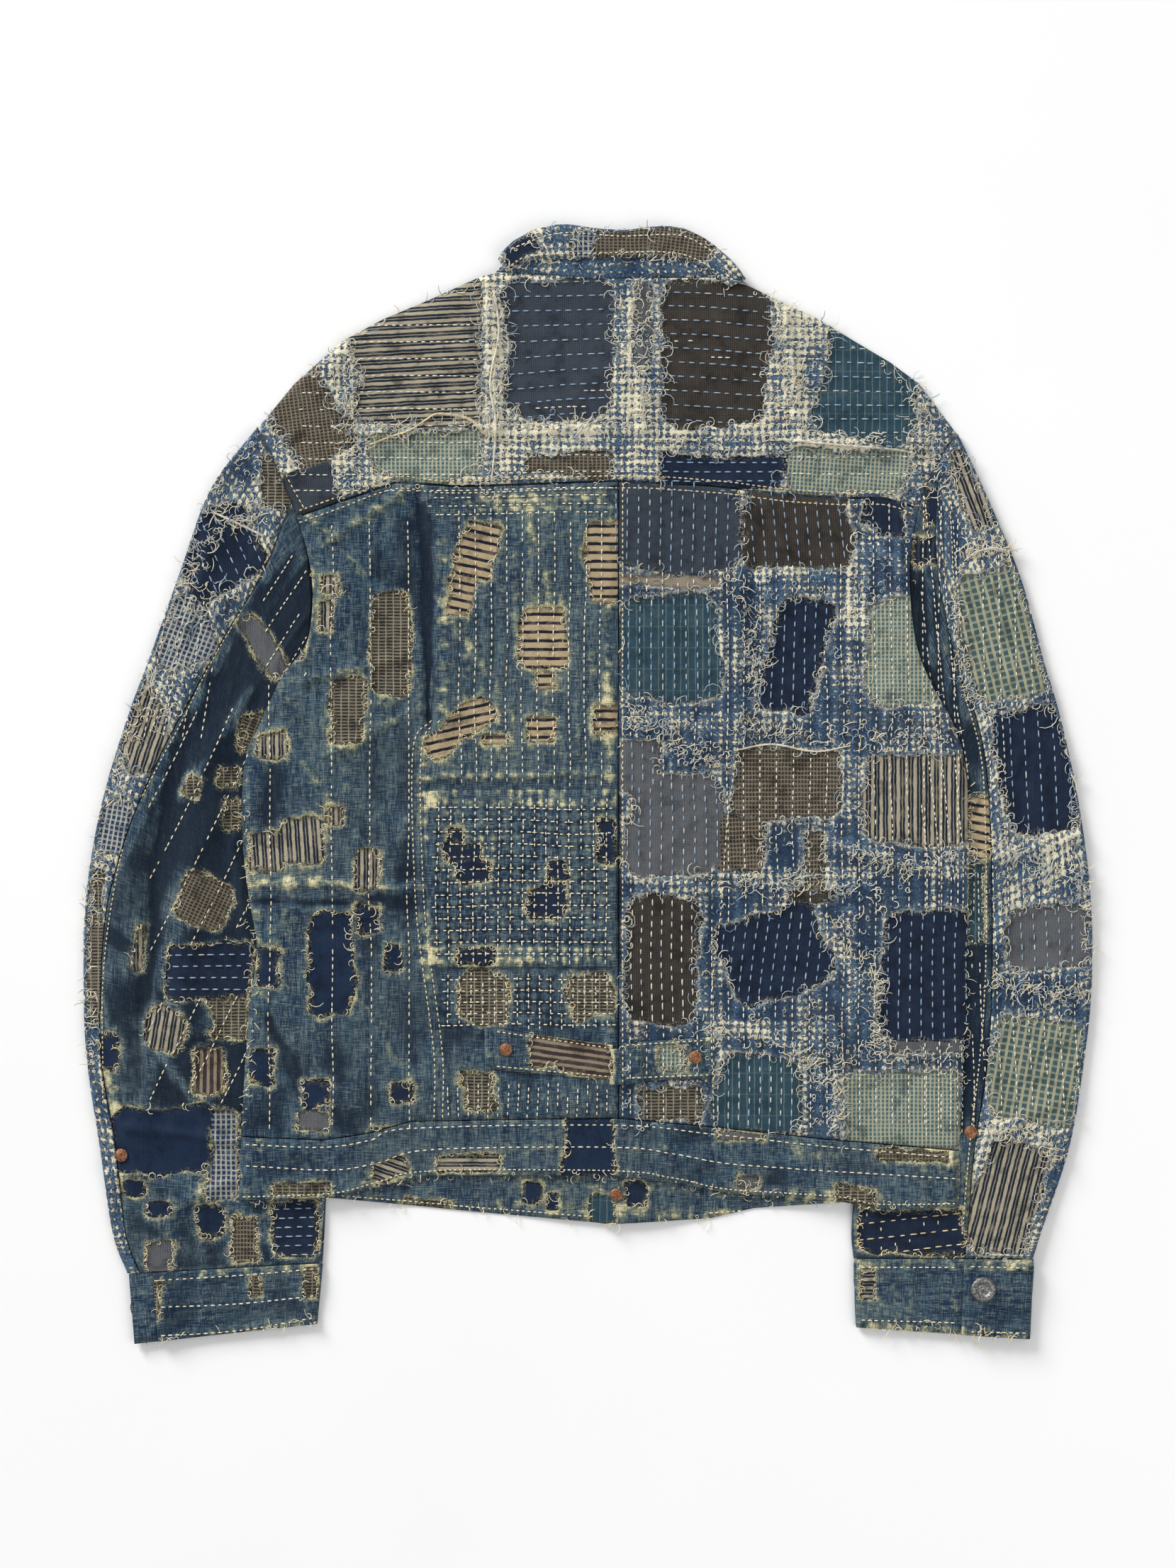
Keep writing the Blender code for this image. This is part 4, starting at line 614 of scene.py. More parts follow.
# Areas of even rows. Columns: left, top, right, bottom, spacing, way in degrees, pitch, tone
ROW_AREAS = (
    (640, 716, 866, 1108, 22, 90, 10.5, 0.62), (880, 700, 1360, 1590, 23, 90, 10.5, 0.42),
    (440, 730, 596, 1590, 54, 90, 10.5, 0.66), (372, 960, 430, 1590, 56, 90, 10.5, 0.66),
    (612, 1128, 862, 1358, 17, 90, 9.5, 0.62), (612, 1128, 862, 1358, 17, 0, 9.5, 0.66),
    (626, 1374, 868, 1450, 16, 90, 9.0, 0.55), (626, 1374, 868, 1450, 16, 0, 9.0, 0.60),
    (630, 1530, 868, 1576, 14, 90, 9.0, 0.55), (420, 440, 1290, 700, 23, 0, 10.5, 0.42),
    (606, 698, 868, 728, 12, 0, 9.5, 0.66), (210, 1000, 352, 1560, 46, 116, 10.5, 0.66),
    (1380, 780, 1530, 1580, 22, 88, 10.5, 0.40), (150, 760, 300, 1040, 26, 100, 10.5, 0.40),
    (1212, 1706, 1358, 1772, 20, 90, 9.0, 0.66), (1300, 700, 1366, 1240, 17, 84, 9.0, 0.5),
    (1300, 1200, 1380, 1600, 17, 90, 9.0, 0.5), (372, 780, 436, 960, 27, 122, 9.0, 0.6),
)
FRAY = 0.0004
RIPPLE = 0.00022
CLOTH_INSET = 0.0003
ROUNDED_RIM = 0.0008
BOUNDARIES = {}
SURFACES = []


def bleach(plan):
    """Bleached blocks: for each line, blocks of the pitch that fade to its sides, broken up by noise."""
    total = np.zeros(plan.shape[:-1])
    for x0, y0, x1, y1, half, pitch, strength in BLEACHED:
        side, down, _ = beside(plan, x0, y0, x1, y1)
        length = np.linalg.norm(np.array((x1 - x0, y1 - y0), float))
        block = 0.5 + 0.5 * np.cos(down * 2 * math.pi / pitch + cloud(plan, 60.0, int(y0)) * 2)
        inside = ease((down + 6) / 8) * ease((length + 6 - down) / 8) * ease((half + 4 - np.abs(side)) / 6)
        patchy = 0.75 + 0.5 * cloud(plan, 46.0, 9)
        total = np.maximum(total, strength * inside * (0.25 + 0.75 * block) * patchy)
    return total


def quilted(plan):
    """Ripple of the quilted areas: -1 on each row of stitches, 1 between two rows, 0 outside the areas."""
    total = np.zeros(plan.shape[:-1])
    for left, top, right, bottom, spacing, way, *_ in ROW_AREAS:
        angle = math.radians(way)
        off = np.array((-math.sin(angle), math.cos(angle)))
        reach = math.hypot(right - left, bottom - top) / 2
        turn = (plan - ((left + right) / 2, (top + bottom) / 2)) @ off + reach - cloud(plan, 90.0, 5) * 3
        inset = np.minimum(np.minimum(plan[..., 0] - left, right - plan[..., 0]),
                           np.minimum(plan[..., 1] - top, bottom - plan[..., 1]))
        total -= np.cos(turn * 2 * math.pi / spacing) * ease((inset + 6) / 12) * min(1.0, 24 / spacing)
    return np.clip(total, -1.3, 1.3)


def cloth(name, grid, lay, wall, top, replaced, windows=(), creases=(), upper=1.0, wear_and_shade=0.0):
    """A cloth piece: a closed sheet laid like its solid, with windows sunk in it, creases, cloths, and wear
    with painted shade.

    flat is the width and length of the cut; upper is 0 where the sheet has turned under and stays plain."""
    plan = to_plan(lay(grid, np.full(grid.shape[:2], wall)))
    edge, which = window_field(plan, windows) if windows else (np.full(plan.shape[:2], -60.0), None)
    edge = edge * upper - 60.0 * (1 - upper)
    rim = np.minimum(np.minimum(*np.meshgrid(np.arange(grid.shape[1]), np.arange(grid.shape[0]))),
                     np.minimum(*np.meshgrid(np.arange(grid.shape[1])[::-1],
                                             np.arange(grid.shape[0])[::-1])))
    puckers = sum(cloud(plan, size, 70 + k) * reach for k, (size, reach) in enumerate(PUCKERS))
    patchy = ease(0.55 + 1.5 * cloud(plan, 150.0, 17))
    wrinkles = np.exp(-(cloud(plan * (1.0, 0.45), 82.0, 91) / 0.2) ** 2) * 0.0013 * patchy
    wrinkles = wrinkles + np.exp(-(cloud(plan @ DIAGONAL, 60.0, 12) / 0.2) ** 2) * 0.0010 * (1 - patchy)
    ripple = quilted(plan) * upper
    raised = (puckers + wrinkles + 2.6 * crease_height(creases, plan)) * upper
    fray = np.exp(-((edge + 1.2) / 1.4) ** 2) * FRAY
    worn_away = WORN_LAYER * ease(0.5 + edge / SOFT_EDGE) * 0.9
    out = wall - CLOTH_INSET + (raised + fray + RIPPLE * ripple) * ease(rim / 3) - worn_away
    out = np.maximum(out - ROUNDED_RIM * ease(1 - rim / 2.2) * upper, THINNEST)
    outer = lay(grid, out)
    inner = lay(grid, np.zeros(grid.shape[:2]))
    piece, quads = closed_sheet(name, outer, inner)
    SURFACES.append((outer.reshape(-1, 3), quads))
    mesh = piece.data
    total = len(mesh.vertices)
    fine = edge.size
    facts = {"edge": np.full(total, -60.0, np.float32), "wear_and_shade": np.full(total, 0.0, np.float32)}
    facts["edge"][:fine] = edge.ravel()
    # Relief as colour: ridges go pale as rubbed wear, and troughs go dark as painted shade in the creases
    ridge_wear_trough_shade = np.clip((raised - 0.0008) / 0.0018, -1.2, 1.0)
    edge_wear = 0.44 * np.exp(-np.abs(edge + 1.0) / 2.2) + 0.26 * np.exp(-rim * GRID_STEP * 0.5 / 2.5)
    # worn: each piece's own wear and tone, and on the sleeves the painted shade beside the body from
    # shaded()
    worn = wear_and_shade(plan) if callable(wear_and_shade) else wear_and_shade
    facts["wear_and_shade"][:fine] = (worn + 0.40 * ridge_wear_trough_shade + 0.22 * ripple + edge_wear + bleach(plan) * upper).ravel()
    for label, values in facts.items():
        mesh.attributes.new(label, "FLOAT", "POINT").data.foreach_set("value", values)
    spread = np.zeros((total, 3), np.float32)
    spread[:fine, :2] = (grid * PLAN_STEP).reshape(-1, 2)
    spread[fine:, :2] = (grid[::COARSE, ::COARSE] * PLAN_STEP).reshape(-1, 2)
    mesh.attributes.new("flat", "FLOAT_VECTOR", "POINT").data.foreach_set("vector", spread.ravel())
    materials = [cloth_material(top, "none")]
    indices = np.zeros(len(mesh.polygons), np.int32)
    uv = np.zeros((len(mesh.loops), 2), np.float32)
    if windows:
        owner = which.ravel()[quads[:, 0]]
        near = edge.ravel()[quads].max(1) > -7.5
        names = sorted({window[5] for window in windows})
        materials += [cloth_material(top, weave) for weave in names]
        slots = np.array([names.index(window[5]) + 1 for window in windows])
        indices[:len(quads)] = np.where(near, slots[owner], 0)
        turns = np.radians(np.array([window[6] for window in windows], float))[owner]
        place = (plan * PLAN_STEP).reshape(-1, 2)[quads]
        c, s = np.cos(turns)[:, None], np.sin(turns)[:, None]
        uv[:quads.size] = np.stack([place[..., 0] * c + place[..., 1] * s,
                                    place[..., 1] * c - place[..., 0] * s],
                                   -1).reshape(-1, 2)
        ground = np.gradient(edge)
        flips = edge[:, :-1] * edge[:, 1:] < 0
        share = edge[:, :-1] / np.where(flips, edge[:, :-1] - edge[:, 1:], 1)
        start = (outer[:, :-1] + (outer[:, 1:] - outer[:, :-1]) * share[..., None])[flips]
        step_x = np.gradient(outer, axis=1)[:, :-1][flips]
        step_y = np.gradient(outer, axis=0)[:, :-1][flips]
        inward = step_x * ground[1][:, :-1][flips][:, None] + step_y * ground[0][:, :-1][flips][:, None]
        BOUNDARIES[name] = (start, inward / np.maximum(np.linalg.norm(inward, axis=1, keepdims=True), 1e-9))
    for material in materials:
        mesh.materials.append(material)
    mesh.uv_layers.new(name="patch").data.foreach_set("uv", uv.ravel())
    mesh.polygons.foreach_set("material_index", indices)
    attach(piece, "root")
    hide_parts(*replaced)
    return piece


def on(level):
    """The laying function of a body panel: a plan point is lifted by the level under it."""
    return lambda grid, out: np.concatenate([to_metres(grid), (level(grid) + out)[..., None]], -1)


def armhole(table, skew, start, end, count):
    """Plan points on the armhole from share start to share end of its line."""
    reach = table[0, 2:4] - table[0, 0:2]
    width = float(np.linalg.norm(reach))
    forward = reach / width
    share = np.linspace(start, end, count)
    push = table[0, 4] * 4 * share * (1 - share) * (1 + skew * (share - 0.5))
    aside = np.array((forward[1], -forward[0])) * push[:, None]
    return table[0, 0:2] + forward * (share * width)[:, None] + aside


def body_line(table, skew, column, start, inset):
    """A side of the body: the armhole, then the side edge, moved in by inset."""
    hole = armhole(table, skew, start, 0.93, 5) + (inset / 4, 0)
    return np.vstack([hole, np.stack([SIDES[1:-1, column] + inset, SIDES[1:-1, 0]], 1)])


LEFT_SKEW = 0.9
RIGHT_SKEW = -0.3
shoulders = np.array(SHOULDERS, float) + (0, SHOULDER_INSET)
front_top = np.vstack([shoulders[shoulders[:, 0] < 690], FRONT_NECKLINE, shoulders[shoulders[:, 0] > 1060]])
cloth("left_front_cloth",
      panel_grid((body_line(LEFT_SLEEVE, LEFT_SKEW, 1, 0.05, 16), ((700, 404), (660, 1610)),
                  ((880, 562), (880, 1610))),
                 front_top, FRONT_WAIST, 10.0),
      on(front_level), FRONT_WALL, "denim", ("front_left",))
cloth("right_front_cloth",
      panel_grid((((846, 562), (846, 1610)), ((1055, 422), (1080, 1610)),
                  body_line(RIGHT_SLEEVE, RIGHT_SKEW, 2, 0.05, -16)),
                 front_top, FRONT_WAIST, 10.0),
      on(placket_level), FRONT_WALL, "denim", ("front_right",))
# Windows. Columns: left, top, right, bottom, turn, weave, turn of the weave, stitch row spacing (0 for
# none), way of the rows in degrees (90 runs down), and tone of the thread from 0, blue, to 1, yellow
HEM_WINDOWS = (
    (738, 1670, 763, 1699, 0, "blue", 0, 0, 0, 0), (773, 1685, 787, 1706, 0, "blue", 0, 0, 0, 0),
    (882, 1668, 912, 1701, 0, "navy", 0, 0, 0, 0), (835, 1688, 866, 1726, 0, "teal", 0, 0, 0, 0),
    (570, 1692, 640, 1706, 6, "brown_check", 0, 0, 0, 0),
)
for name, node, start, end, level in (
    ("left_front_band", "waistband_front_left", 353, 880, front_level),
    ("right_front_band", "waistband_front_right", 846, 1342, placket_level),
):
    cloth(name, panel_grid((((start, 1611), (start, 1690)), ((end, 1611), (end, 1700))), FRONT_WAIST,
                           FRONT_HEM),
          on(level), FRONT_WALL, "denim", (node,), HEM_WINDOWS, wear_and_shade=0.12)

# Sleeves: an outer and an under panel each, rolled round their folded edges, as two-piece sleeves are.
# The outer panels are looped gauze over patches and the under panels worn denim with torn windows.
SLEEVE_WALL = 0.0017
OUTER_ROLL = 0.0021
INNER_ROLL = 0.00105
RUN = 1000.0
ARMHOLE_GAP = 0.0015
FOLD_END = 40.0
# Folds. Columns: x0, y0, x1, y1, left_width, right_width, height in metres
LEFT_SLEEVE_FOLDS = (
    (300, 880, 205, 1120, 34, 30, 0.0036), (200, 1120, 176, 1420, 34, 20, 0.0050),
    (300, 1060, 268, 1250, 24, 40, 0.0056), (268, 1250, 250, 1430, 22, 40, 0.0058),
    (250, 1520, 330, 1590, 26, 30, 0.0036), (180, 1650, 300, 1700, 22, 26, 0.0034),
    (210, 1730, 400, 1690, 22, 22, 0.0028),
)
RIGHT_SLEEVE_FOLDS = (
    (1420, 760, 1450, 960, 34, 34, 0.0026), (1400, 1040, 1405, 1300, 22, 22, 0.0030),
    (1405, 1300, 1395, 1560, 22, 22, 0.0028), (1440, 1170, 1530, 1230, 26, 26, 0.0026),
    (1430, 1400, 1520, 1370, 26, 26, 0.0026), (1420, 1600, 1490, 1640, 24, 24, 0.0030),
)
LEFT_UPPER_WINDOWS = (
    (362, 640, 412, 722, 0, "brown_check", 0, 0, 0, 0),
    (248, 712, 372, 838, -24, "navy", 0, 18, 66, 0.1), (214, 842, 300, 944, -20, "net", 20, 0, 0, 0),
    (160, 958, 232, 1092, -18, "stripe", -72, 0, 0, 0), (130, 1130, 186, 1205, -12, "net", 10, 0, 0, 0),
    (120, 1226, 150, 1440, 0, "brown_check", 0, 0, 0, 0),
)
LEFT_UNDER_WINDOWS = (
    (330, 998, 386, 1059, 0, "brown_check", 20, 0, 0, 0),
    (259, 1091, 288, 1126, 20, "brown_check", 0, 0, 0, 0),
    (304, 1081, 339, 1110, 0, "brown_check", 0, 0, 0, 0),
    (317, 1129, 342, 1171, 0, "brown_check", 0, 0, 0, 0),
    (250, 1240, 326, 1312, 25, "thin_stripe", 25, 0, 0, 0),
    (188, 1301, 207, 1372, 8, "stripe", 90, 0, 0, 0), (237, 1327, 358, 1407, 0, "navy", 0, 16, 0, 0.05),
    (291, 1405, 355, 1470, 0, "brown_check", 0, 0, 0, 0),
    (208, 1427, 266, 1486, 20, "stripe", 100, 0, 0, 0),
    (270, 1478, 318, 1542, 0, "rust_stripe", 90, 0, 0, 0), (133, 1458, 169, 1510, 0, "blue", 0, 0, 0, 0),
    (156, 1563, 304, 1655, -6, "blue", 0, 0, 0, 0), (170, 1660, 205, 1690, 0, "blue", 0, 0, 0, 0),
    (207, 1696, 243, 1716, 0, "blue", 0, 0, 0, 0), (279, 1703, 319, 1744, 0, "blue", 0, 0, 0, 0),
    (202, 1752, 243, 1796, 0, "grey", 0, 0, 0, 0), (291, 1570, 337, 1690, 0, "net", 0, 0, 0, 0),
    (326, 1712, 368, 1780, 0, "thin_stripe", 90, 0, 0, 0),
    (378, 1693, 452, 1776, 0, "navy", 0, 13, 0, 0.05), (356, 860, 386, 960, -30, "grey", 0, 0, 0, 0),
)
RIGHT_UPPER_WINDOWS = (
    (1352, 625, 1414, 750, -14, "stripe", 70, 0, 0, 0),
    (1359, 800, 1489, 984, -10, "wide_check", -14, 0, 0, 0),
    (1408, 996, 1530, 1176, -8, "navy", 0, 20, 88, 0.0),
    (1418, 1278, 1541, 1368, 0, "grey", 0, 18, 90, 0.1),
    (1396, 1440, 1532, 1588, 6, "wide_check", 10, 0, 0, 0),
    (1378, 1606, 1470, 1770, 14, "stripe", 104, 0, 0, 0),
)
RIGHT_UNDER_WINDOWS = (
    (1304, 690, 1339, 745, 0, "navy", 0, 0, 0, 0), (1290, 752, 1335, 800, 0, "cord", 90, 0, 0, 0),
    (1369, 1124, 1402, 1206, 0, "wide_stripe", 10, 0, 0, 0),
    (1366, 1220, 1388, 1330, 0, "teal", 0, 0, 0, 0), (1212, 1708, 1358, 1770, 0, "navy", 0, 23, -6, 0.9),
)


def fold_height(plan, x0, y0, x1, y1, left_width, right_width, height):
    """Height of one fold: a bell across its line, wider on one side, that fades past both ends."""
    side, _, past = beside(plan, x0, y0, x1, y1)
    width = np.where(side > 0, left_width, right_width)
    return height * np.exp(-((side / width) ** 2) - (past / FOLD_END) ** 2)


class Sleeve:
    """A flattened sleeve: its sections, the skew of its armhole, its folds and the body side over it."""

    def __init__(self, table, skew, folds, column):
        self.table = table
        self.skew = skew
        self.folds = folds
        self.column = column
        self.turn = 1.0 if table[0, 0] < PLAN_CENTRE[0] else -1.0

    def bowed(self, v, across):
        """Plan point, direction to the inner edge and width at share v, that far in from the outer edge."""
        row = along(self.table, v)
        reach = row[..., 2:4] - row[..., 0:2]
        width = np.linalg.norm(reach, axis=-1)
        forward = reach / width[..., None]
        side = np.stack([forward[..., 1], -forward[..., 0]], -1)
        share = np.clip(across(width) / width, 0, 1)
        push = row[..., 4] * 4 * share * (1 - share) * (1 + self.skew * (share - 0.5))
        return row[..., 0:2] + forward * across(width)[..., None] + side * push[..., None], forward, width

    def from_body(self, plan):
        """Plan distance out from the side of the body."""
        edge = np.interp(plan[..., 1], SIDES[:, 0], SIDES[:, self.column])
        return (edge - plan[..., 0]) * self.turn

    def standing(self, plan):
        """Height of the folds, cleared away under the side of the body."""
        total = np.zeros(plan.shape[:-1])
        for fold in self.folds:
            total = np.maximum(total, fold_height(plan, *fold))
        return total * ease((self.from_body(plan) - 4) / 40)

    def shaded(self, plan):
        """Painted shade of the sleeve, as wear below zero: darker close to the side of the body that lies on
        it.
        """
        apart = self.from_body(plan)
        deep = -0.8 * np.exp(-((apart / 20) ** 2)) - 0.62 * np.exp(-((apart / 130) ** 2))
        side = 1.0 if self.turn > 0 else 0.4
        return deep * side * ease((plan[..., 1] - 700) / 250) * ease((1640 - plan[..., 1]) / 80)

    def grid(self, from_outer, step=GRID_STEP):
        """Fine flat grid of a panel: distance in from its folded edge, and place along the sleeve."""
        v = np.linspace(ARMHOLE_GAP, 1 - 0.0008, COARSE * round(1230 / step / COARSE) + 1)
        row = along(self.table, v)
        width = np.linalg.norm(row[:, 2:4] - row[:, 0:2], axis=1)
        over = (row[:, 5] if from_outer else 1 - row[:, 5]) * width - SEAM_GAP / PLAN_STEP
        under = (row[:, 6] if from_outer else 1 - row[:, 6]) * width - SEAM_GAP / PLAN_STEP
        roll = (OUTER_ROLL if from_outer else INNER_ROLL) / PLAN_STEP
        count = COARSE * max(1, round((over - roll).max() / step / COARSE))
        parts = [roll + (over - roll) * (1 - k / count) for k in range(count)]
        parts += [np.full_like(v, roll - roll * math.pi * k / 8) for k in range(8)]
        parts += [roll - roll * math.pi - (under - roll) * k / 12 for k in range(13)]
        return np.stack([np.stack(parts, 1), np.repeat(v[:, None] * RUN, len(parts), 1)], -1)

    def lay(self, from_outer):
        """The laying function of a panel: flat on top, round the folded edge, and flat under the sleeve."""
        radius = OUTER_ROLL if from_outer else INNER_ROLL
        roll = radius / PLAN_STEP
        drop = 2 * (OUTER_ROLL - INNER_ROLL)

        def laid(flat, out):
            past = roll - flat[..., 0]
            angle = np.clip(past / roll, 0, math.pi)
            inward = np.where(past < 0, flat[..., 0],
                              roll - roll * np.sin(angle) + np.maximum(past - roll * math.pi, 0))
            across = (lambda width: inward) if from_outer else (lambda width: width - inward)
            plan, forward, width = self.bowed(flat[..., 1] / RUN, across)
            share = ease((across(width) / width - 0.1) / 0.5)
            slack = -drop * share if from_outer else drop * (1 - share)
            raised = (self.standing(plan) + slack) * ease((flat[..., 0] - roll) / 24)
            off = out - SLEEVE_WALL / 2
            push = np.sin(angle) * off * (-1 if from_outer else 1) / PLAN_STEP
            height = SLEEVE_WALL / 2 + radius + radius * np.cos(angle) + raised + np.cos(angle) * off
            return np.concatenate([to_metres(plan + forward * push[..., None]), height[..., None]], -1)

        return laid


left_sleeve = Sleeve(LEFT_SLEEVE, LEFT_SKEW, LEFT_SLEEVE_FOLDS, 1)
right_sleeve = Sleeve(RIGHT_SLEEVE, RIGHT_SKEW, RIGHT_SLEEVE_FOLDS, 2)
# Creases. Columns: x0, y0, x1, y1, half width in plan units, height in metres (below 0 for a trough)
SLEEVE_CREASES = (
    (253, 1060, 228, 1231, 10, -0.0012), (228, 1231, 205, 1395, 10, -0.0012),
    (330, 1120, 300, 1010, 9, -0.0008), (352, 980, 262, 1120, 9, 0.0011),
    (335, 1130, 300, 1230, 10, -0.0012), (330, 1190, 345, 1290, 8, 0.0010),
    (240, 1500, 330, 1640, 8, 0.0012), (150, 1520, 190, 1620, 9, 0.0010),
    (190, 1590, 330, 1610, 7, 0.0010), (160, 1660, 250, 1750, 8, 0.0010),
    (250, 1700, 390, 1640, 8, 0.0010), (300, 760, 260, 900, 10, 0.0008),
    (130, 1300, 190, 1340, 9, -0.0010), (1370, 1010, 1500, 1060, 9, 0.0008),
    (1390, 1210, 1520, 1180, 9, 0.0009), (1380, 1330, 1500, 1400, 9, -0.0008),
    (1400, 1600, 1480, 1560, 8, 0.0009), (1230, 1720, 1340, 1740, 8, 0.0006),
)
for name, sleeve, from_outer, top, windows, node, cut in (
    ("left_outer_sleeve", left_sleeve, True, "gauze", LEFT_UPPER_WINDOWS, "sleeve_upper_left",
     (0.105, 0.60)),
    ("left_under_sleeve", left_sleeve, False, "denim", LEFT_UNDER_WINDOWS, "sleeve_under_left",
     (0.175, 0.55)),
    ("right_outer_sleeve", right_sleeve, True, "gauze", RIGHT_UPPER_WINDOWS, "sleeve_upper_right",
     (0.125, 0.60)),
    ("right_under_sleeve", right_sleeve, False, "denim", RIGHT_UNDER_WINDOWS, "sleeve_under_right",
     (0.115, 0.54)),
):
    flat_grid = sleeve.grid(from_outer)
    on_top = ease(flat_grid[..., 0] / ((OUTER_ROLL if from_outer else INNER_ROLL) / PLAN_STEP))
    # Each sleeve's wear is the painted shade from its shaded()
    cloth(name, flat_grid, sleeve.lay(from_outer), SLEEVE_WALL, top, (node,), windows, SLEEVE_CREASES,
          on_top,
          sleeve.shaded)

# Back: two panels with the pleats between them, worn denim with torn windows on the left and gauze over
# patches on the right, and the gauze yoke sewn above them from shoulder to shoulder.
BACK_WALL = 0.0024
EDGE_DROP = 14.0
BACK_EXTRA = 10.0
UNDERARM_FREE = (915.0, 975.0)
NECK_MIDDLE = 878.0
NECK_FREE = (160.0, 200.0)
NOT_FREE = 300.0
YOKE_SEAM = (
    (421, 729), (478, 709), (559, 681), (641, 687), (873, 680), (1004, 686), (1106, 698), (1188, 703),
    (1249, 703), (1290, 716),
)
WAIST_SEAM = (
    (340, 1603), (457, 1608), (523, 1598), (580, 1582), (871, 1577), (1004, 1590), (1157, 1606),
    (1356, 1623),
)
LEFT_PLEAT = (
    (602, 684), (612, 760), (622, 850), (619, 1015), (592, 1060), (595, 1258), (606, 1365), (622, 1490),
    (622, 1580),
)
CENTRE_SEAM = ((873, 680), (873, 1577))
RIGHT_PLEAT = (
    (1045, 691), (1055, 770), (1037, 850), (1035, 1044), (1019, 1156), (1010, 1280), (996, 1411),
    (1000, 1590),
)
BACK_FOLDS = (
    (602, 690, 622, 850, 7, 60, 0.0034), (622, 850, 619, 1015, 7, 60, 0.0034),
    (600, 1040, 604, 1360, 10, 26, 0.0010), (1045, 700, 1055, 770, 50, 10, 0.0026),
    (1055, 770, 1036, 860, 50, 10, 0.0028), (1036, 860, 1034, 1040, 50, 12, 0.0022),
    (360, 1256, 545, 1262, 26, 26, 0.0022), (430, 960, 560, 1060, 30, 40, 0.0018),
    (1310, 960, 1180, 1040, 40, 36, 0.0018), (470, 720, 560, 800, 22, 40, 0.0018),
    (600, 1450, 630, 1570, 26, 30, 0.0018), (1130, 1420, 1090, 1570, 30, 30, 0.0016),
    (1200, 760, 1290, 850, 26, 26, 0.0018), (420, 1420, 500, 1560, 34, 30, 0.0016),
)
YOKE_WINDOWS = (
    (376, 490, 474, 660, -30, "thin_stripe", -8, 0, 0, 0),
    (401, 655, 478, 722, -20, "slate", 0, 0, 0, 0), (498, 372, 679, 602, 0, "stripe", -3, 0, 0, 0),
    (520, 612, 687, 680, 0, "teal_check", 0, 0, 0, 0), (715, 392, 865, 590, 0, "slate", 0, 21, -2, 0.0),
    (930, 394, 1088, 606, 0, "brown", 0, 20, 3, 0.0), (1154, 450, 1303, 622, 12, "teal", 0, 20, 0, 0.1),
    (928, 640, 1109, 694, 0, "navy", 0, 13, 0, 0.0), (1112, 634, 1280, 700, 0, "teal_check", 4, 0, 0, 0),
    (738, 640, 866, 674, 0, "thin_stripe", 0, 0, 0, 0), (894, 402, 922, 520, 0, "grey", 0, 0, 0, 0),
)
BACK_LEFT_WINDOWS = (
    (647, 731, 708, 819, 14, "wide_stripe", 12, 0, 0, 0),
    (633, 805, 672, 872, 10, "wide_stripe", 12, 0, 0, 0),
    (831, 740, 880, 854, 0, "wide_stripe", 0, 0, 0, 0),
    (736, 851, 801, 944, 0, "wide_stripe", 0, 0, 0, 0),
    (758, 946, 785, 972, 0, "wide_stripe", 0, 0, 0, 0),
    (594, 1006, 704, 1046, -38, "wide_stripe", -12, 0, 0, 0),
    (745, 1011, 785, 1047, 0, "wide_stripe", 0, 0, 0, 0),
    (835, 990, 880, 1040, 0, "wide_stripe", 0, 0, 0, 0),
    (679, 1036, 719, 1052, 0, "wide_stripe", 0, 0, 0, 0),
    (526, 840, 576, 979, 0, "brown_check", 0, 0, 0, 0),
    (467, 954, 520, 1052, 0, "brown_check", 0, 0, 0, 0), (397, 799, 436, 927, 8, "grey", 0, 0, 0, 0),
    (452, 809, 480, 837, 0, "stripe", 90, 0, 0, 0), (450, 847, 472, 892, 0, "stripe", 90, 0, 0, 0),
    (396, 1151, 457, 1217, 0, "stripe", 86, 0, 0, 0), (345, 1171, 401, 1233, 0, "stripe", 86, 0, 0, 0),
    (460, 1138, 485, 1163, 0, "stripe", 90, 0, 0, 0), (503, 1197, 539, 1258, 0, "stripe", 90, 0, 0, 0),
    (360, 1029, 406, 1069, 0, "stripe", 90, 0, 0, 0), (442, 1289, 498, 1437, 0, "blue", 0, 0, 0, 0),
    (503, 1273, 544, 1324, 0, "blue", 0, 0, 0, 0), (544, 1328, 568, 1370, 0, "blue", 0, 0, 0, 0),
    (361, 1335, 393, 1391, 0, "blue", 0, 0, 0, 0), (350, 1478, 391, 1534, 0, "blue", 0, 0, 0, 0),
    (424, 1522, 470, 1565, 0, "blue", 0, 0, 0, 0), (416, 1565, 467, 1596, 0, "grey", 0, 0, 0, 0),
    (549, 1524, 587, 1557, 0, "navy", 0, 0, 0, 0), (651, 1372, 717, 1440, 10, "brown_check", 0, 0, 0, 0),
    (806, 1370, 868, 1440, -12, "brown_check", 0, 0, 0, 0),
    (650, 1512, 700, 1572, 0, "brown_check", 0, 0, 0, 0), (520, 1588, 600, 1604, 0, "grey", 0, 0, 0, 0),
)
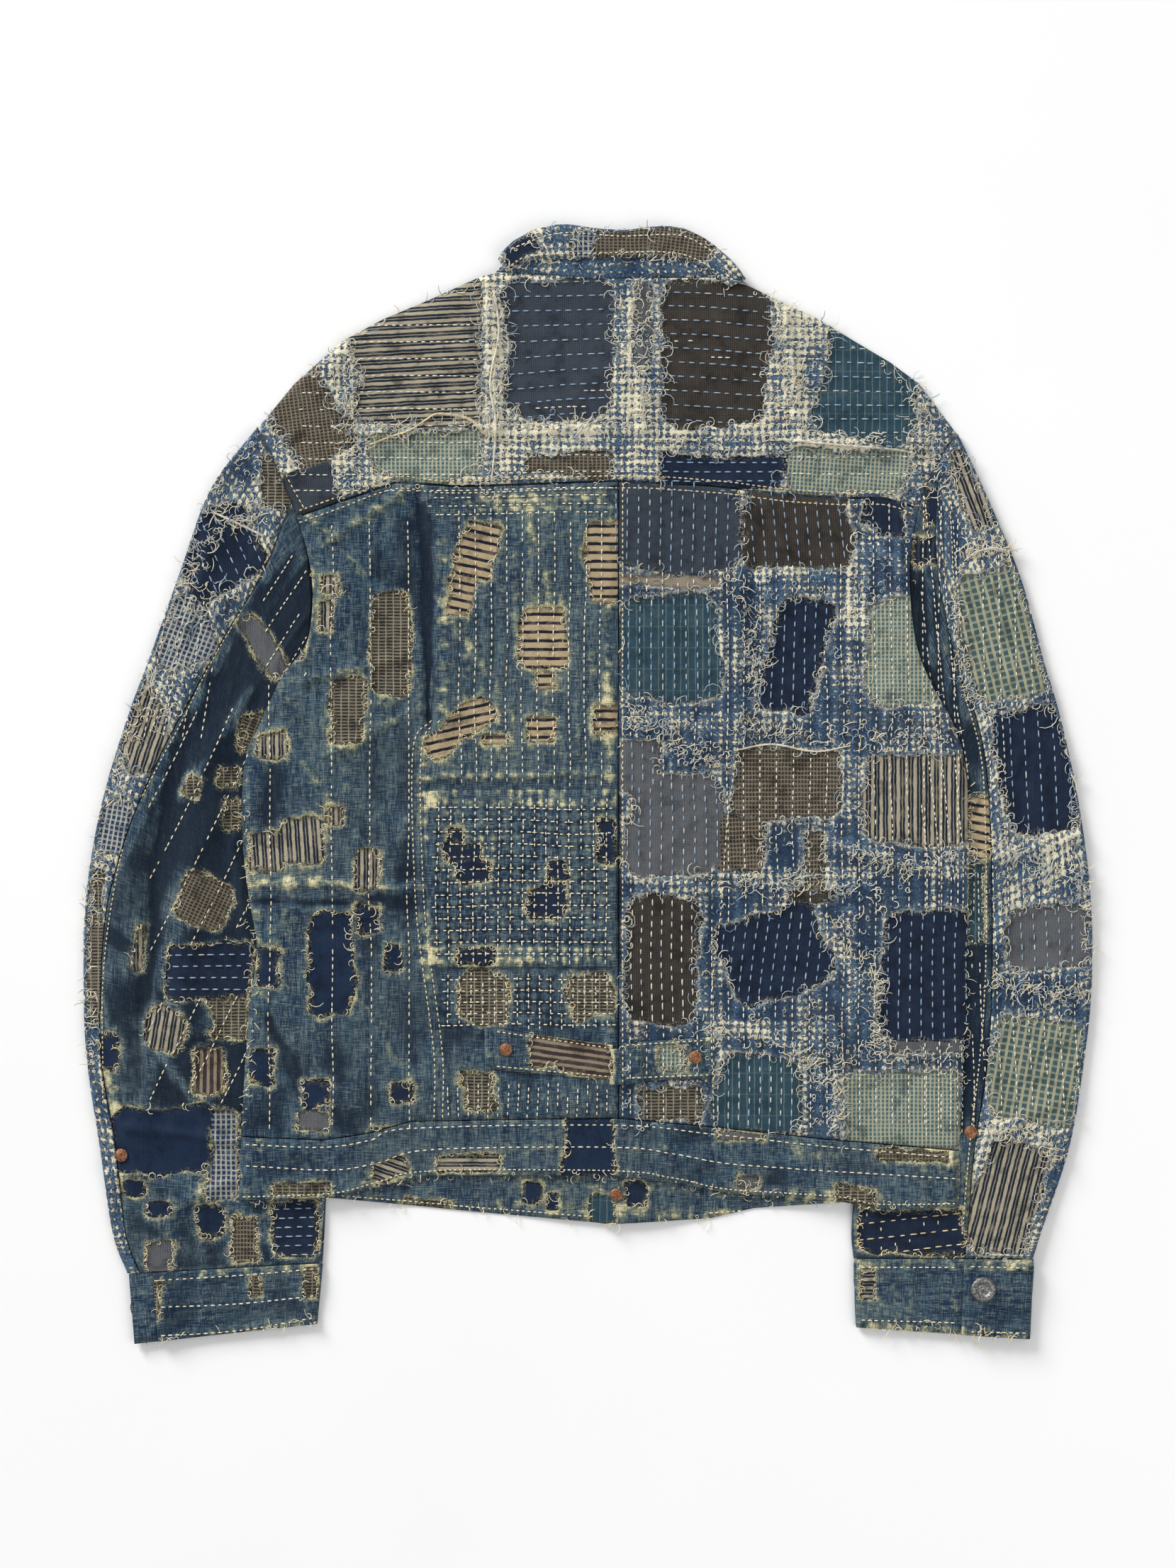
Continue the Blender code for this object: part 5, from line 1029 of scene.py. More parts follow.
BACK_RIGHT_WINDOWS = (
    (866, 676, 1043, 806, 0, "slate", 0, 16, 90, 0.0),
    (1047, 682, 1206, 800, 0, "brown", 0, 16, 84, 0.0), (1210, 688, 1285, 752, 10, "navy", 0, 0, 0, 0),
    (866, 812, 1016, 828, 2, "tan", 90, 0, 0, 0), (866, 838, 1022, 990, 0, "teal", 0, 16, 90, 0.1),
    (1080, 844, 1164, 1012, 14, "navy", 0, 15, 92, 0.0),
    (1223, 850, 1326, 992, 0, "teal_check", 0, 0, 0, 0),
    (868, 1044, 936, 1122, 0, "grey", 0, 15, 90, 0.1),
    (884, 1090, 1018, 1232, 0, "grey", 0, 16, 90, 0.1),
    (1034, 1056, 1190, 1154, 0, "thin_stripe", 90, 0, 0, 0),
    (1012, 1152, 1080, 1233, 0, "thin_stripe", 88, 0, 0, 0),
    (1132, 1172, 1167, 1258, 0, "thin_stripe", 90, 0, 0, 0),
    (1215, 1059, 1372, 1187, 2, "stripe", 90, 0, 0, 0),
    (882, 1268, 986, 1442, 2, "brown", 0, 14, 90, 0.3),
    (1016, 1286, 1168, 1404, -20, "navy", 0, 15, 96, 0.0),
    (1111, 1256, 1178, 1274, 0, "brown", 0, 0, 0, 0),
    (1243, 1286, 1372, 1466, 0, "navy", 0, 16, 90, 0.0), (1257, 1466, 1359, 1486, 0, "grey", 0, 0, 0, 0),
    (1011, 1490, 1128, 1600, 6, "teal", 0, 15, 90, 0.2),
    (1190, 1508, 1362, 1630, 0, "teal_check", 0, 0, 0, 0),
    (900, 1534, 990, 1586, 0, "brown_check", 0, 0, 0, 0),
)
BACK_CREASES = (
    (590, 690, 604, 800, 5, -0.0014), (600, 740, 608, 1010, 6, -0.0016),
    (350, 1246, 590, 1252, 6, 0.0011), (352, 1272, 570, 1276, 6, -0.0008),
    (440, 730, 540, 840, 7, 0.0009), (560, 700, 470, 760, 7, 0.0008), (430, 960, 560, 930, 8, 0.0009),
    (470, 1060, 590, 1000, 8, 0.0008), (610, 1096, 870, 1092, 5, 0.0009),
    (400, 1040, 470, 1140, 8, 0.0008), (500, 1400, 580, 1520, 8, 0.0008),
    (380, 1440, 440, 1560, 9, -0.0008), (640, 880, 720, 1000, 8, 0.0007),
    (740, 720, 780, 840, 7, 0.0006), (1060, 790, 1062, 1040, 8, -0.0012),
    (1080, 700, 1120, 800, 6, 0.0010), (1140, 700, 1190, 790, 7, 0.0008),
    (940, 1010, 1060, 1060, 8, 0.0008), (1180, 1190, 1330, 1230, 9, 0.0009),
    (900, 1240, 1020, 1260, 7, 0.0008), (1180, 1420, 1230, 1600, 8, -0.0009),
    (1150, 1280, 1230, 1420, 8, 0.0009), (1000, 1430, 1120, 1480, 7, 0.0008),
    (870, 690, 874, 1450, 4, -0.0007), (1290, 1000, 1360, 1100, 8, 0.0008),
    (1250, 780, 1330, 860, 8, 0.0008), (700, 610, 900, 606, 7, 0.0007), (500, 612, 690, 604, 6, 0.0008),
    (1100, 622, 1290, 628, 7, 0.0008), (690, 400, 700, 600, 7, 0.0008), (900, 400, 905, 600, 9, 0.0006),
    (1110, 430, 1130, 620, 8, 0.0007),
)


def back_level(plan):
    """Underside of the back, which lies on the fronts, drops at its free edges and carries the folds."""
    x, y = plan[..., 0], plan[..., 1]
    side = np.minimum(x - np.interp(y, SIDES[:, 0], SIDES[:, 1]), np.interp(y, SIDES[:, 0], SIDES[:, 2]) - x)
    side = side + NOT_FREE * ease((UNDERARM_FREE[1] - y) / (UNDERARM_FREE[1] - UNDERARM_FREE[0]))
    sewn = ease((NECK_FREE[1] - np.abs(x - NECK_MIDDLE)) / (NECK_FREE[1] - NECK_FREE[0]))
    shoulder = y - height_at(SHOULDERS, x) + NOT_FREE * sewn
    inset = np.minimum(ease(side / EDGE_DROP), ease(shoulder / EDGE_DROP))
    lap = ease(1 - (np.abs(x - BUTTON_LINE) - PLACKET_HALF - BACK_EXTRA) / PLACKET_RAMP) * below_neck(plan)
    total = np.zeros(plan.shape[:-1])
    for fold in BACK_FOLDS:
        total = np.maximum(total, fold_height(plan, *fold))
    return front_level(plan) + (FRONT_WALL + LAYER_GAP) * (inset + lap) + total * inset


def top_of_back(plan):
    """Underside of what lies on the back."""
    return back_level(plan) + BACK_WALL + LAYER_GAP


left_side = body_line(LEFT_SLEEVE, LEFT_SKEW, 1, 0.39, 0)
right_side = body_line(RIGHT_SLEEVE, RIGHT_SKEW, 2, 0.335, 0)
cloth("left_back_cloth", panel_grid((left_side, LEFT_PLEAT, CENTRE_SEAM), YOKE_SEAM, WAIST_SEAM),
      on(back_level), BACK_WALL, "denim", ("back_left",), BACK_LEFT_WINDOWS, BACK_CREASES,
      wear_and_shade=lambda plan: 0.16 * ease((plan[..., 0] - 605) / 30) * ease((1120 - plan[..., 1]) / 30) - 0.03)
cloth("right_back_cloth", panel_grid((CENTRE_SEAM, RIGHT_PLEAT, right_side), YOKE_SEAM, WAIST_SEAM),
      on(back_level), BACK_WALL, "gauze", ("back_right",), BACK_RIGHT_WINDOWS, BACK_CREASES,
      wear_and_shade=-0.42)
yoke_lines = (
    armhole(LEFT_SLEEVE, LEFT_SKEW, 0, 0.39, 5), ((520, 460), (540, 690)), ((700, 384), (700, 685)),
    ((873, 392), (873, 680)), ((1055, 402), (1055, 692)), ((1206, 480), (1190, 703)),
    armhole(RIGHT_SLEEVE, RIGHT_SKEW, 0, 0.335, 5),
)
cloth("yoke_cloth", panel_grid(yoke_lines, SHOULDERS, np.array(YOKE_SEAM) - (0, 1.5)),
      on(back_level), BACK_WALL, "gauze", ("back_yoke",), YOKE_WINDOWS, BACK_CREASES,
      wear_and_shade=0.22)

# Waistband: one worn denim band across the back, sewn along both edges and its middle, and the square
# patch with dense stitched bars that lies on the lower left back.
BAND_WALL = 0.0026
PATCH_WALL = 0.0016
BACK_HEM = (
    (337, 1694), (467, 1690), (534, 1674), (610, 1659), (866, 1658), (953, 1669), (1030, 1685),
    (1178, 1694), (1239, 1705), (1310, 1708), (1354, 1703),
)
WAIST_WINDOWS = (
    (381, 1668, 467, 1688, 0, "brown_check", 0, 0, 0, 0),
    (526, 1631, 580, 1664, -14, "stripe", 20, 0, 0, 0), (613, 1630, 705, 1654, -2, "stripe", 0, 0, 0, 0),
    (794, 1572, 868, 1662, 0, "blue", 0, 0, 0, 0),
    (1234, 1618, 1341, 1640, 2, "thin_stripe", 90, 0, 0, 0),
    (1040, 1657, 1073, 1677, 0, "grey", 0, 0, 0, 0),
    (1178, 1672, 1239, 1700, 6, "brown_check", 0, 0, 0, 0),
    (1012, 1597, 1081, 1609, 4, "grey", 0, 0, 0, 0),
)
GRID_WINDOWS = (
    (634, 1167, 656, 1186, 0, "navy", 0, 0, 0, 0), (628, 1190, 682, 1215, 0, "navy", 0, 0, 0, 0),
    (646, 1214, 694, 1245, 0, "navy", 0, 0, 0, 0), (740, 1251, 794, 1294, 0, "navy", 0, 0, 0, 0),
    (772, 1212, 800, 1240, 0, "navy", 0, 0, 0, 0), (846, 1156, 868, 1217, 0, "navy", 0, 0, 0, 0),
    (646, 1336, 697, 1360, 0, "navy", 0, 0, 0, 0),
)
cloth("waistband_cloth",
      panel_grid((((340, 1603), (337, 1694)), ((523, 1598), (523, 1677)), ((871, 1577), (866, 1658)),
                  ((1157, 1606), (1157, 1692)), ((1356, 1623), (1354, 1703))), WAIST_SEAM, BACK_HEM),
      on(back_level), BAND_WALL, "denim", ("waistband_back",), WAIST_WINDOWS, wear_and_shade=0.02)
cloth("stitched_patch", panel_grid((((597, 1115), (604, 1366)), ((700, 1114), (700, 1365)),
                                    ((871, 1113), (871, 1364))),
                                   None, None, 2.6),
      on(top_of_back), PATCH_WALL, "denim", ("grid_patch",), GRID_WINDOWS,
      wear_and_shade=lambda plan: 0.10 * quilted(plan) - 0.06)

# Cuffs: each is one strip of worn denim sewn to the end of its sleeve and carried round the inner fold,
# as one closed sheet of even wall. The right one's button end laps over its outside.
CUFF_TOP = 0.0044
END_TOP = 0.0076
CUFF_LOW = BAND_WALL / 2 + 0.00003
WRAP_STEP = 0.0014
LEFT_CUFF = (((182, 1797.6), (190, 1896)), ((454, 1782.6), (446, 1868)))
RIGHT_CUFF = (((1457, 1776.6), (1452, 1889)), ((1207, 1776.6), (1210, 1873)))
LEFT_CUFF_WINDOWS = (
    (210, 1804, 230, 1868, 0, "brown_check", 0, 0, 0, 0),
    (352, 1800, 370, 1828, 0, "brown_check", 0, 0, 0, 0),
    (426, 1786, 452, 1832, 0, "brown_check", 0, 0, 0, 0),
)
RIGHT_CUFF_WINDOWS = ((1213, 1786, 1239, 1834, 0, "stripe", 0, 0, 0, 0),)


def fold_path(from_outer, low, high, steps=12):
    """Half a turn round a folded edge, from the upper layer to the lower one."""
    radius = (high - low) / 2
    angles = np.linspace(0, math.pi, steps + 1)
    run = radius / PLAN_STEP * (1 - np.sin(angles))
    return [(from_outer, r, low + radius + radius * math.cos(a)) for r, a in zip(run, angles)]


def resampled(places, step):
    """A grid of places read at even steps in both directions, with straight runs between the given ones."""
    for axis in (0, 1):
        gaps = np.linalg.norm(np.diff(places, axis=axis), axis=-1).mean(1 - axis)
        run = np.concatenate([[0], np.cumsum(gaps)])
        count = COARSE * max(1, round(run[-1] / step / COARSE)) + 1
        at = np.linspace(0, run[-1], count)
        start = np.clip(np.searchsorted(run, at, "right") - 1, 0, len(run) - 2)
        share = (at - run[start]) / gaps[start]
        share = share[:, None, None] if axis == 0 else share[None, :, None]
        places = np.take(places, start, axis) * (1 - share) + np.take(places, start + 1, axis) * share
    return places


def wrapped(name, middle, wall, top, replaced, windows=(), wear_and_shade=0.0):
    """A cloth strip of even wall on a grid of places for its middle; windows open only where it faces up."""
    middle = resampled(middle, WRAP_STEP)
    normal = np.cross(np.gradient(middle, axis=1), np.gradient(middle, axis=0))
    normal /= np.linalg.norm(normal, axis=-1, keepdims=True)
    rows, columns = middle.shape[:2]
    if normal[rows // 2, 2, 2] < 0:
        normal = -normal
    unit = WRAP_STEP / PLAN_STEP
    numbers = np.stack(np.meshgrid(np.arange(rows), np.arange(columns), indexing="ij"), -1) * unit

    def lay(grid, out):
        row, column = (grid[..., 0] / unit).round().astype(int), (grid[..., 1] / unit).round().astype(int)
        return middle[row, column] + normal[row, column] * (out - wall / 2)[..., None]

    return cloth(name, numbers, lay, wall, top, replaced, windows, (), ease(normal[..., 2] * 2), wear_and_shade)


def cuff_middle(outer, inner, path, rows=5):
    """Middle of a cuff wall: path gives distance in from the outer or inner edge, and height."""
    share = np.linspace(0, 1, rows)
    outer, inner = even(outer, share), even(inner, share)
    reach = inner - outer
    width = np.linalg.norm(reach, axis=1)
    forward = reach / width[:, None]
    places = []
    for from_outer, distance, height in path:
        across = np.full(rows, distance) if from_outer else width - distance
        places.append(np.column_stack([to_metres(outer + forward * across[:, None]), np.full(rows, height)]))
    return np.stack(places, 1)


left_path = [(True, 34.0, CUFF_TOP + 0.0018), (True, 60.0, CUFF_TOP + 0.0008), (True, 100.0, CUFF_TOP),
             (False, 90.0, CUFF_TOP), (False, 40.0, CUFF_TOP)] + fold_path(False, CUFF_LOW, CUFF_TOP)
left_path += [(False, 40.0, CUFF_LOW), (False, 90.0, CUFF_LOW), (True, 100.0, CUFF_LOW),
              (True, 60.0, CUFF_LOW + 0.0008), (True, 34.0, CUFF_LOW + 0.0018),
              (True, 0.0, CUFF_LOW + 0.0022)]
right_path = [(True, 44.0, CUFF_TOP), (True, 90.0, CUFF_TOP), (False, 100.0, CUFF_TOP),
              (False, 40.0, CUFF_TOP)]
right_path += fold_path(False, CUFF_LOW, CUFF_TOP)
right_path += [(False, 40.0, CUFF_LOW), (False, 100.0, CUFF_LOW), (True, 90.0, CUFF_LOW),
               (True, 18.0, CUFF_LOW)]
end_path = [(True, 96.0, END_TOP), (True, 60.0, END_TOP), (True, 30.0, END_TOP)]
end_path += fold_path(True, CUFF_LOW, END_TOP)[:-1] + [(True, 11.0, CUFF_LOW)]
for name, node, sides, path, cut, windows in (
    ("left_cuff_cloth", "cuff_left", LEFT_CUFF, left_path, (0.26, 0.046), LEFT_CUFF_WINDOWS),
    ("right_cuff_cloth", "cuff_right", RIGHT_CUFF, right_path, (0.222, 0.05), RIGHT_CUFF_WINDOWS),
    ("right_cuff_end", "cuff_right_end", RIGHT_CUFF, end_path, (0.053, 0.055), ()),
):
    wrapped(name, cuff_middle(*sides, path), BAND_WALL, "denim", (node,), windows, 0.14)

# Collar: the stand sewn to the neck seam, the leaf rolled over it, and the two front leaves that lie
# under the fronts with the collar's ends, all in patched gauze.
COLLAR_WALL = 0.0020
NECK_LEVEL = 0.0046
LEAF_LOW = 0.0030
LEAF_HIGH = 0.0084
COLLAR_RETURN = 26.0
COLLAR_ROLL = (
    (704, 366), (732, 337), (787, 318), (839, 323), (876, 326), (928, 321), (961, 323), (1007, 347),
    (1052, 394),
)
COLLAR_FREE_EDGE = (
    (716, 386), (746, 369), (790, 366), (839, 365), (876, 364), (925, 364), (955, 365), (986, 374),
    (1030, 406),
)
STAND_TOP = ((720, 362), (760, 344), (876, 342), (990, 350), (1030, 382))
STAND_SEAM = ((700, 384), (762, 387), (854, 393), (1007, 391), (1055, 402))
FRONT_LEAF = ((700, 392), (836, 560), (806, 642), (640, 520))
LEAF_WINDOWS = (
    (704, 334, 764, 372, -30, "navy", 0, 0, 0, 0), (804, 322, 836, 362, 0, "net", 0, 0, 0, 0),
    (842, 322, 915, 362, 0, "thin_stripe", 0, 0, 0, 0),
    (918, 320, 1010, 364, 6, "thin_stripe", 8, 0, 0, 0),
)


def shell_rows(rows, height):
    """Places in metres from plan rows and one height."""
    return np.column_stack([to_metres(rows), np.full(len(rows), height)])


stand_share = np.linspace(0, 1, 17)
stand_plan = np.stack([even(STAND_TOP, stand_share), even(STAND_SEAM, stand_share)])
stand = np.concatenate([to_metres(stand_plan), np.full((2, 17, 1), NECK_LEVEL + COLLAR_WALL / 2)], -1)
wrapped("collar_stand_cloth", stand, COLLAR_WALL, "gauze", ("collar_stand",))
leaf_share = np.linspace(0, 1, 25)
roll_line, free_edge = even(COLLAR_ROLL, leaf_share), even(COLLAR_FREE_EDGE, leaf_share)
leaf_reach = np.linalg.norm(free_edge - roll_line, axis=1)
leaf_way = (free_edge - roll_line) / leaf_reach[:, None]
leaf_radius = (LEAF_HIGH - LEAF_LOW) / 2
leaf_rows = [shell_rows(roll_line + leaf_way * leaf_reach[:, None], LEAF_HIGH - 0.0002),
             shell_rows(roll_line + leaf_way * (leaf_reach * 0.6)[:, None], LEAF_HIGH + 0.0002)]
for angle in np.linspace(0, math.pi, 10):
    run = leaf_radius / PLAN_STEP * (1 - math.sin(angle))
    leaf_rows.append(shell_rows(roll_line + leaf_way * run, LEAF_LOW + leaf_radius * (1 + math.cos(angle))))
leaf_rows.append(shell_rows(roll_line + leaf_way * COLLAR_RETURN * 0.7, LEAF_LOW))
wrapped("collar_leaf_cloth", np.stack(leaf_rows), COLLAR_WALL, "gauze", ("collar_leaf",),
        LEAF_WINDOWS)
for side, mirror in (("left", 1), ("right", -1)):
    corner = [(BUTTON_LINE + (x - BUTTON_LINE) * mirror, y) for x, y in FRONT_LEAF]
    cloth("collar_front_" + side + "_cloth", panel_grid(((corner[0], corner[3]), (corner[1], corner[2])),
                                                        None, None, 6.0),
          on(lambda plan: np.zeros(plan.shape[:-1])), COLLAR_WALL, "gauze", ("collar_front_" + side,))

# Cinch: two denim straps on the lower back held by a sewn loop, the left one with a striped patch. Each
# is a thin closed sheet in the form of its solid, fixed at its outer end by a copper rivet.
STRAP_WALL = 0.0018
LEFT_STRAP = ((683, 1448), (866, 1473), (868, 1524), (684, 1509))
RIGHT_STRAP = ((878, 1470), (1010, 1462), (1009, 1521), (878, 1526))
STRAP_LOOP = ((858, 1478), (906, 1478), (908, 1528), (860, 1530))
STRAP_WINDOWS = (
    (742, 1464, 862, 1514, 6, "rust_stripe", 8, 0, 0, 0),
    (930, 1476, 966, 1512, 0, "teal_check", 0, 0, 0, 0),
)
for name, node, corner, level, cut in (
    ("left_strap_cloth", "cinch_strap_left", LEFT_STRAP, top_of_back, (0.092, 0.029)),
    ("right_strap_cloth", "cinch_strap_right", RIGHT_STRAP, top_of_back, (0.066, 0.029)),
    ("strap_loop_cloth", "cinch_loop", STRAP_LOOP, lambda plan: top_of_back(plan) + STRAP_WALL + LAYER_GAP,
     (0.024, 0.026)),
):
    cloth(name, panel_grid(((corner[0], corner[3]), (corner[1], corner[2])), None, None, 2.6), on(level),
          STRAP_WALL,
          "denim", (node,), STRAP_WINDOWS, wear_and_shade=0.18)

# Hand stitching: rows of running stitch through patches and panels, each stitch a short raised grain of
# thread that lies on the cloth. Rows cross the patches, follow the seams and close the bars of the patch.
STITCH_PITCH = 15.0
STITCH_SHARE = 0.72
STITCH_RADIUS = 0.00062
LEFT_SLEEVE_SEAM = (
    (376, 777), (337, 857), (292, 936), (251, 1019), (218, 1081), (177, 1168), (152, 1279), (140, 1391),
    (140, 1560),
)
RIGHT_SLEEVE_SEAM = (
    (1345, 720), (1359, 943), (1390, 1080), (1396, 1300), (1390, 1460), (1372, 1620), (1362, 1740),
)
# Seams and edges with their stitch: pitch, tone, then the points of the line
SEAM_ROWS = (
    (8.0, 0.85, YOKE_SEAM, (0, -8)), (8.0, 0.85, YOKE_SEAM, (0, 9)),
    (10.5, 0.72, ((345, 1614), (457, 1618), (523, 1608), (580, 1592), (871, 1587), (1004, 1600),
     (1157, 1616), (1350, 1633)), (0, 0)),
    (11.0, 0.60, ((345, 1644), (467, 1650), (534, 1640), (610, 1622), (866, 1618), (953, 1628),
     (1030, 1642), (1178, 1652), (1350, 1662)), (0, 0)),
    (7.0, 0.72, ((342, 1688), (467, 1683), (534, 1667), (610, 1652), (866, 1651), (953, 1662),
     (1030, 1678), (1178, 1687), (1239, 1698), (1350, 1697)), (0, 0)),
    (8.0, 0.80, LEFT_PLEAT[3:], (-9, 0)), (8.0, 0.80, LEFT_PLEAT[3:], (3, 0)),
    (8.0, 0.70, CENTRE_SEAM, (6, 0)), (9.0, 0.6, RIGHT_PLEAT[3:], (8, 0)),
    (8.0, 0.8, ((372, 600), (394, 665), (428, 729)), (8, 0)), (7.0, 0.9, LEFT_SLEEVE_SEAM, (6, 0)),
    (7.0, 0.8, RIGHT_SLEEVE_SEAM, (-4, 0)), (8.0, 0.8, ((700, 1455), (860, 1478)), (0, 0)),
    (8.0, 0.8, ((700, 1504), (860, 1518)), (0, 0)), (8.0, 0.8, ((882, 1474), (1004, 1467)), (0, 0)),
    (8.0, 0.8, ((882, 1520), (1004, 1516)), (0, 0)),
    (10.0, 0.7, ((196, 1808), (330, 1800), (448, 1790)), (0, 0)),
    (10.0, 0.75, ((196, 1886), (330, 1878), (440, 1860)), (0, 0)),
    (10.0, 0.5, ((196, 1845), (330, 1840), (448, 1828)), (0, 0)),
    (9.0, 0.7, ((1214, 1788), (1350, 1788)), (0, 0)), (9.0, 0.7, ((1214, 1862), (1350, 1866)), (0, 0)),
    (9.0, 0.7, ((1368, 1786), (1448, 1788)), (0, 0)), (9.0, 0.7, ((1368, 1878), (1446, 1880)), (0, 0)),
    (7.5, 0.6, ((720, 376), (750, 362), (840, 358), (960, 359), (1030, 396)), (0, 0)),
    (8.0, 0.5, ((720, 352), (790, 330), (876, 334), (960, 333), (1010, 358)), (0, 0)),
    (8.0, 0.8, ((1000, 1712), (1180, 1700)), (0, 0)),
    (8.0, 0.75, ((480, 1686), (661, 1703), (840, 1717)), (0, 0)),
)


def make_surface():
    """One search tree over the upper faces of all cloth."""
    places, faces, start = [], [], 0
    for outer, quads in SURFACES:
        places.append(outer)
        faces.append(quads + start)
        start += len(outer)
    return BVHTree.FromPolygons(np.vstack(places).tolist(), np.vstack(faces).tolist())


def dropped(plan, lift):
    """Places in metres on top of the cloth at plan points, raised by lift; and whether there is cloth."""
    flat = to_metres(plan).reshape(-1, 2)
    height = np.zeros(len(flat))
    for number, (x, y) in enumerate(flat.tolist()):
        hit = TOP_SURFACE.ray_cast((x, y, 0.1), (0.0, 0.0, -1.0))[0]
        height[number] = hit[2] if hit else -1.0
    there = (height > -0.5).reshape(plan.shape[:-1])
    height = np.where(height > -0.5, height, 0.0)
    height = height + np.broadcast_to(lift, plan.shape[:-1]).ravel()
    return np.column_stack([flat, height]).reshape(*plan.shape[:-1], 3), there


def thread_material():
    """Cotton thread: tone takes it from faded blue through cream to yellow, with darker twists along it."""
    material = bpy.data.materials.new("cotton_thread")
    material.use_nodes = True
    tree = material.node_tree
    shader = tree.nodes["Principled BSDF"]
    tone = wire(tree, "ShaderNodeAttribute", attribute_name="tone").outputs["Fac"]
    place = wire(tree, "ShaderNodeTexCoord").outputs["Object"]
    colour = blend(tree, span(tree, tone, 0.0, 0.42), (0.300, 0.420, 0.560), (0.90, 0.85, 0.70))
    colour = blend(tree, span(tree, tone, 0.45, 1.0), colour, (0.84, 0.68, 0.36))
    dirt = span(tree, noise(tree, place, 240.0, 4.0), 0.30, 0.70, 0.75, 1.0)
    colour = blend(tree, 1.0, colour, dirt, "MULTIPLY")
    tree.links.new(colour, shader.inputs["Base Color"])
    twist = wire(tree, "ShaderNodeBump", 0.6, 0.0002, None, noise(tree, place, 3600.0, 2.0)).outputs[0]
    tree.links.new(twist, shader.inputs["Normal"])
    shader.inputs["Roughness"].default_value = 0.9
    return material


THREAD = thread_material()


def thread_piece(name, vertices, counts, corners, tone):
    """A joined mesh of threads with its tone, riding with the jacket."""
    piece = new_mesh(name, vertices, counts, corners)
    piece.data.attributes.new("tone", "FLOAT", "POINT").data.foreach_set("value", tone.astype(np.float32))
    piece.data.materials.append(THREAD)
    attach(piece, "root")
    return piece


def stitch_mesh(name, middle, way, tone, length):
    """Grains of thread: two rings of three points between two tips, along way, on top of the cloth."""
    half = way * (length / 2)[:, None]
    ends, there = dropped(np.stack([middle - half, middle - half * 0.5, middle + half * 0.5, middle + half],
                                   1), 0.0)
    keep = there.all(1) & (np.ptp(ends[..., 2], axis=1) < 0.0022)
    ends, way, tone = ends[keep], way[keep], tone[keep]
    side = np.stack([way[:, 1], way[:, 0], np.zeros(len(way))], 1)
    up = np.array((0.0, 0.0, 1.0))
    points = [ends[:, 0] - up * 0.0001]
    for ring in (1, 2):
        for angle in (0.0, 2.1, 4.2):
            points.append(ends[:, ring] + up * 0.00020
                          + (side * math.sin(angle) + up * math.cos(angle)) * STITCH_RADIUS)
    points.append(ends[:, 3] - up * 0.0001)
    vertices = np.stack(points, 1)
    faces = [(0, 1 + k, 1 + (k + 1) % 3) for k in range(3)] + [(7, 4 + (k + 1) % 3, 4 + k) for k in range(3)]
    joins = [(1 + k, 4 + k, 4 + (k + 1) % 3, 1 + (k + 1) % 3) for k in range(3)]
    start = np.arange(len(vertices))[:, None, None] * 8
    triangles = (np.array(faces)[None] + start).reshape(-1, 3)
    quads = (np.array(joins)[None] + start).reshape(-1, 4)
    counts = np.concatenate([np.full(len(triangles), 3), np.full(len(quads), 4)])
    corners = np.concatenate([triangles.ravel(), quads.ravel()])
    return thread_piece(name, vertices.reshape(-1, 3), counts, corners, np.repeat(tone, 8))


def rows_in(left, top, right, bottom, spacing, way, pitch, chance):
    """Middles and directions of stitches in even rows over a box, with slight wander."""
    centre = np.array(((left + right) / 2, (top + bottom) / 2))
    angle = math.radians(way)
    run = np.array((math.cos(angle), math.sin(angle)))
    off = np.array((-run[1], run[0]))
    reach = math.hypot(right - left, bottom - top) / 2
    rows = np.arange(-reach, reach, spacing)
    steps = np.arange(-reach, reach, pitch)
    along_row = steps[None, :] + chance.uniform(-1.6, 1.6, (len(rows), len(steps)))
    along_row = along_row + chance.uniform(0, pitch, (len(rows), 1))
    middle = centre + run * along_row[..., None] + off * rows[:, None, None]
    middle = middle.reshape(-1, 2)
    middle = middle + off * (cloud(middle, 90.0, 5) * 3)[:, None]
    inside = (middle[:, 0] > left) & (middle[:, 0] < right) & (middle[:, 1] > top) & (middle[:, 1] < bottom)
    middle = middle[inside]
    return middle, np.tile(run, (len(middle), 1))


TOP_SURFACE = make_surface()
chance = np.random.default_rng(8)
middles, ways, tones, lengths = [], [], [], []
for windows in (YOKE_WINDOWS, BACK_LEFT_WINDOWS, BACK_RIGHT_WINDOWS, LEFT_UPPER_WINDOWS, LEFT_UNDER_WINDOWS,
                RIGHT_UPPER_WINDOWS, RIGHT_UNDER_WINDOWS):
    for number, (left, top, right, bottom, turn, weave, turned, spacing, way, tone) in enumerate(windows):
        if spacing:
            middle, run = rows_in(left - 8, top - 8, right + 8, bottom + 8, spacing, way, STITCH_PITCH,
                                  chance)
            edge, which = window_field(middle, windows)
            keep = (edge > 1.0) & (which == number)
            middles.append(middle[keep])
            ways.append(run[keep])
            tones.append(np.full(keep.sum(), tone))
            lengths.append(np.full(keep.sum(), STITCH_PITCH * STITCH_SHARE))
patched = np.vstack(middles)
for left, top, right, bottom, spacing, way, pitch, tone in ROW_AREAS:
    middle, run = rows_in(left, top, right, bottom, spacing, way, pitch, chance)
    gap = np.array([np.abs(patched - point).max(1).min() for point in middle])
    keep = (gap > 9) & (chance.random(len(middle)) < 0.93)
    middles.append(middle[keep])
    ways.append(run[keep])
    tones.append(np.full(keep.sum(), tone))
    lengths.append(np.full(keep.sum(), pitch * STITCH_SHARE))
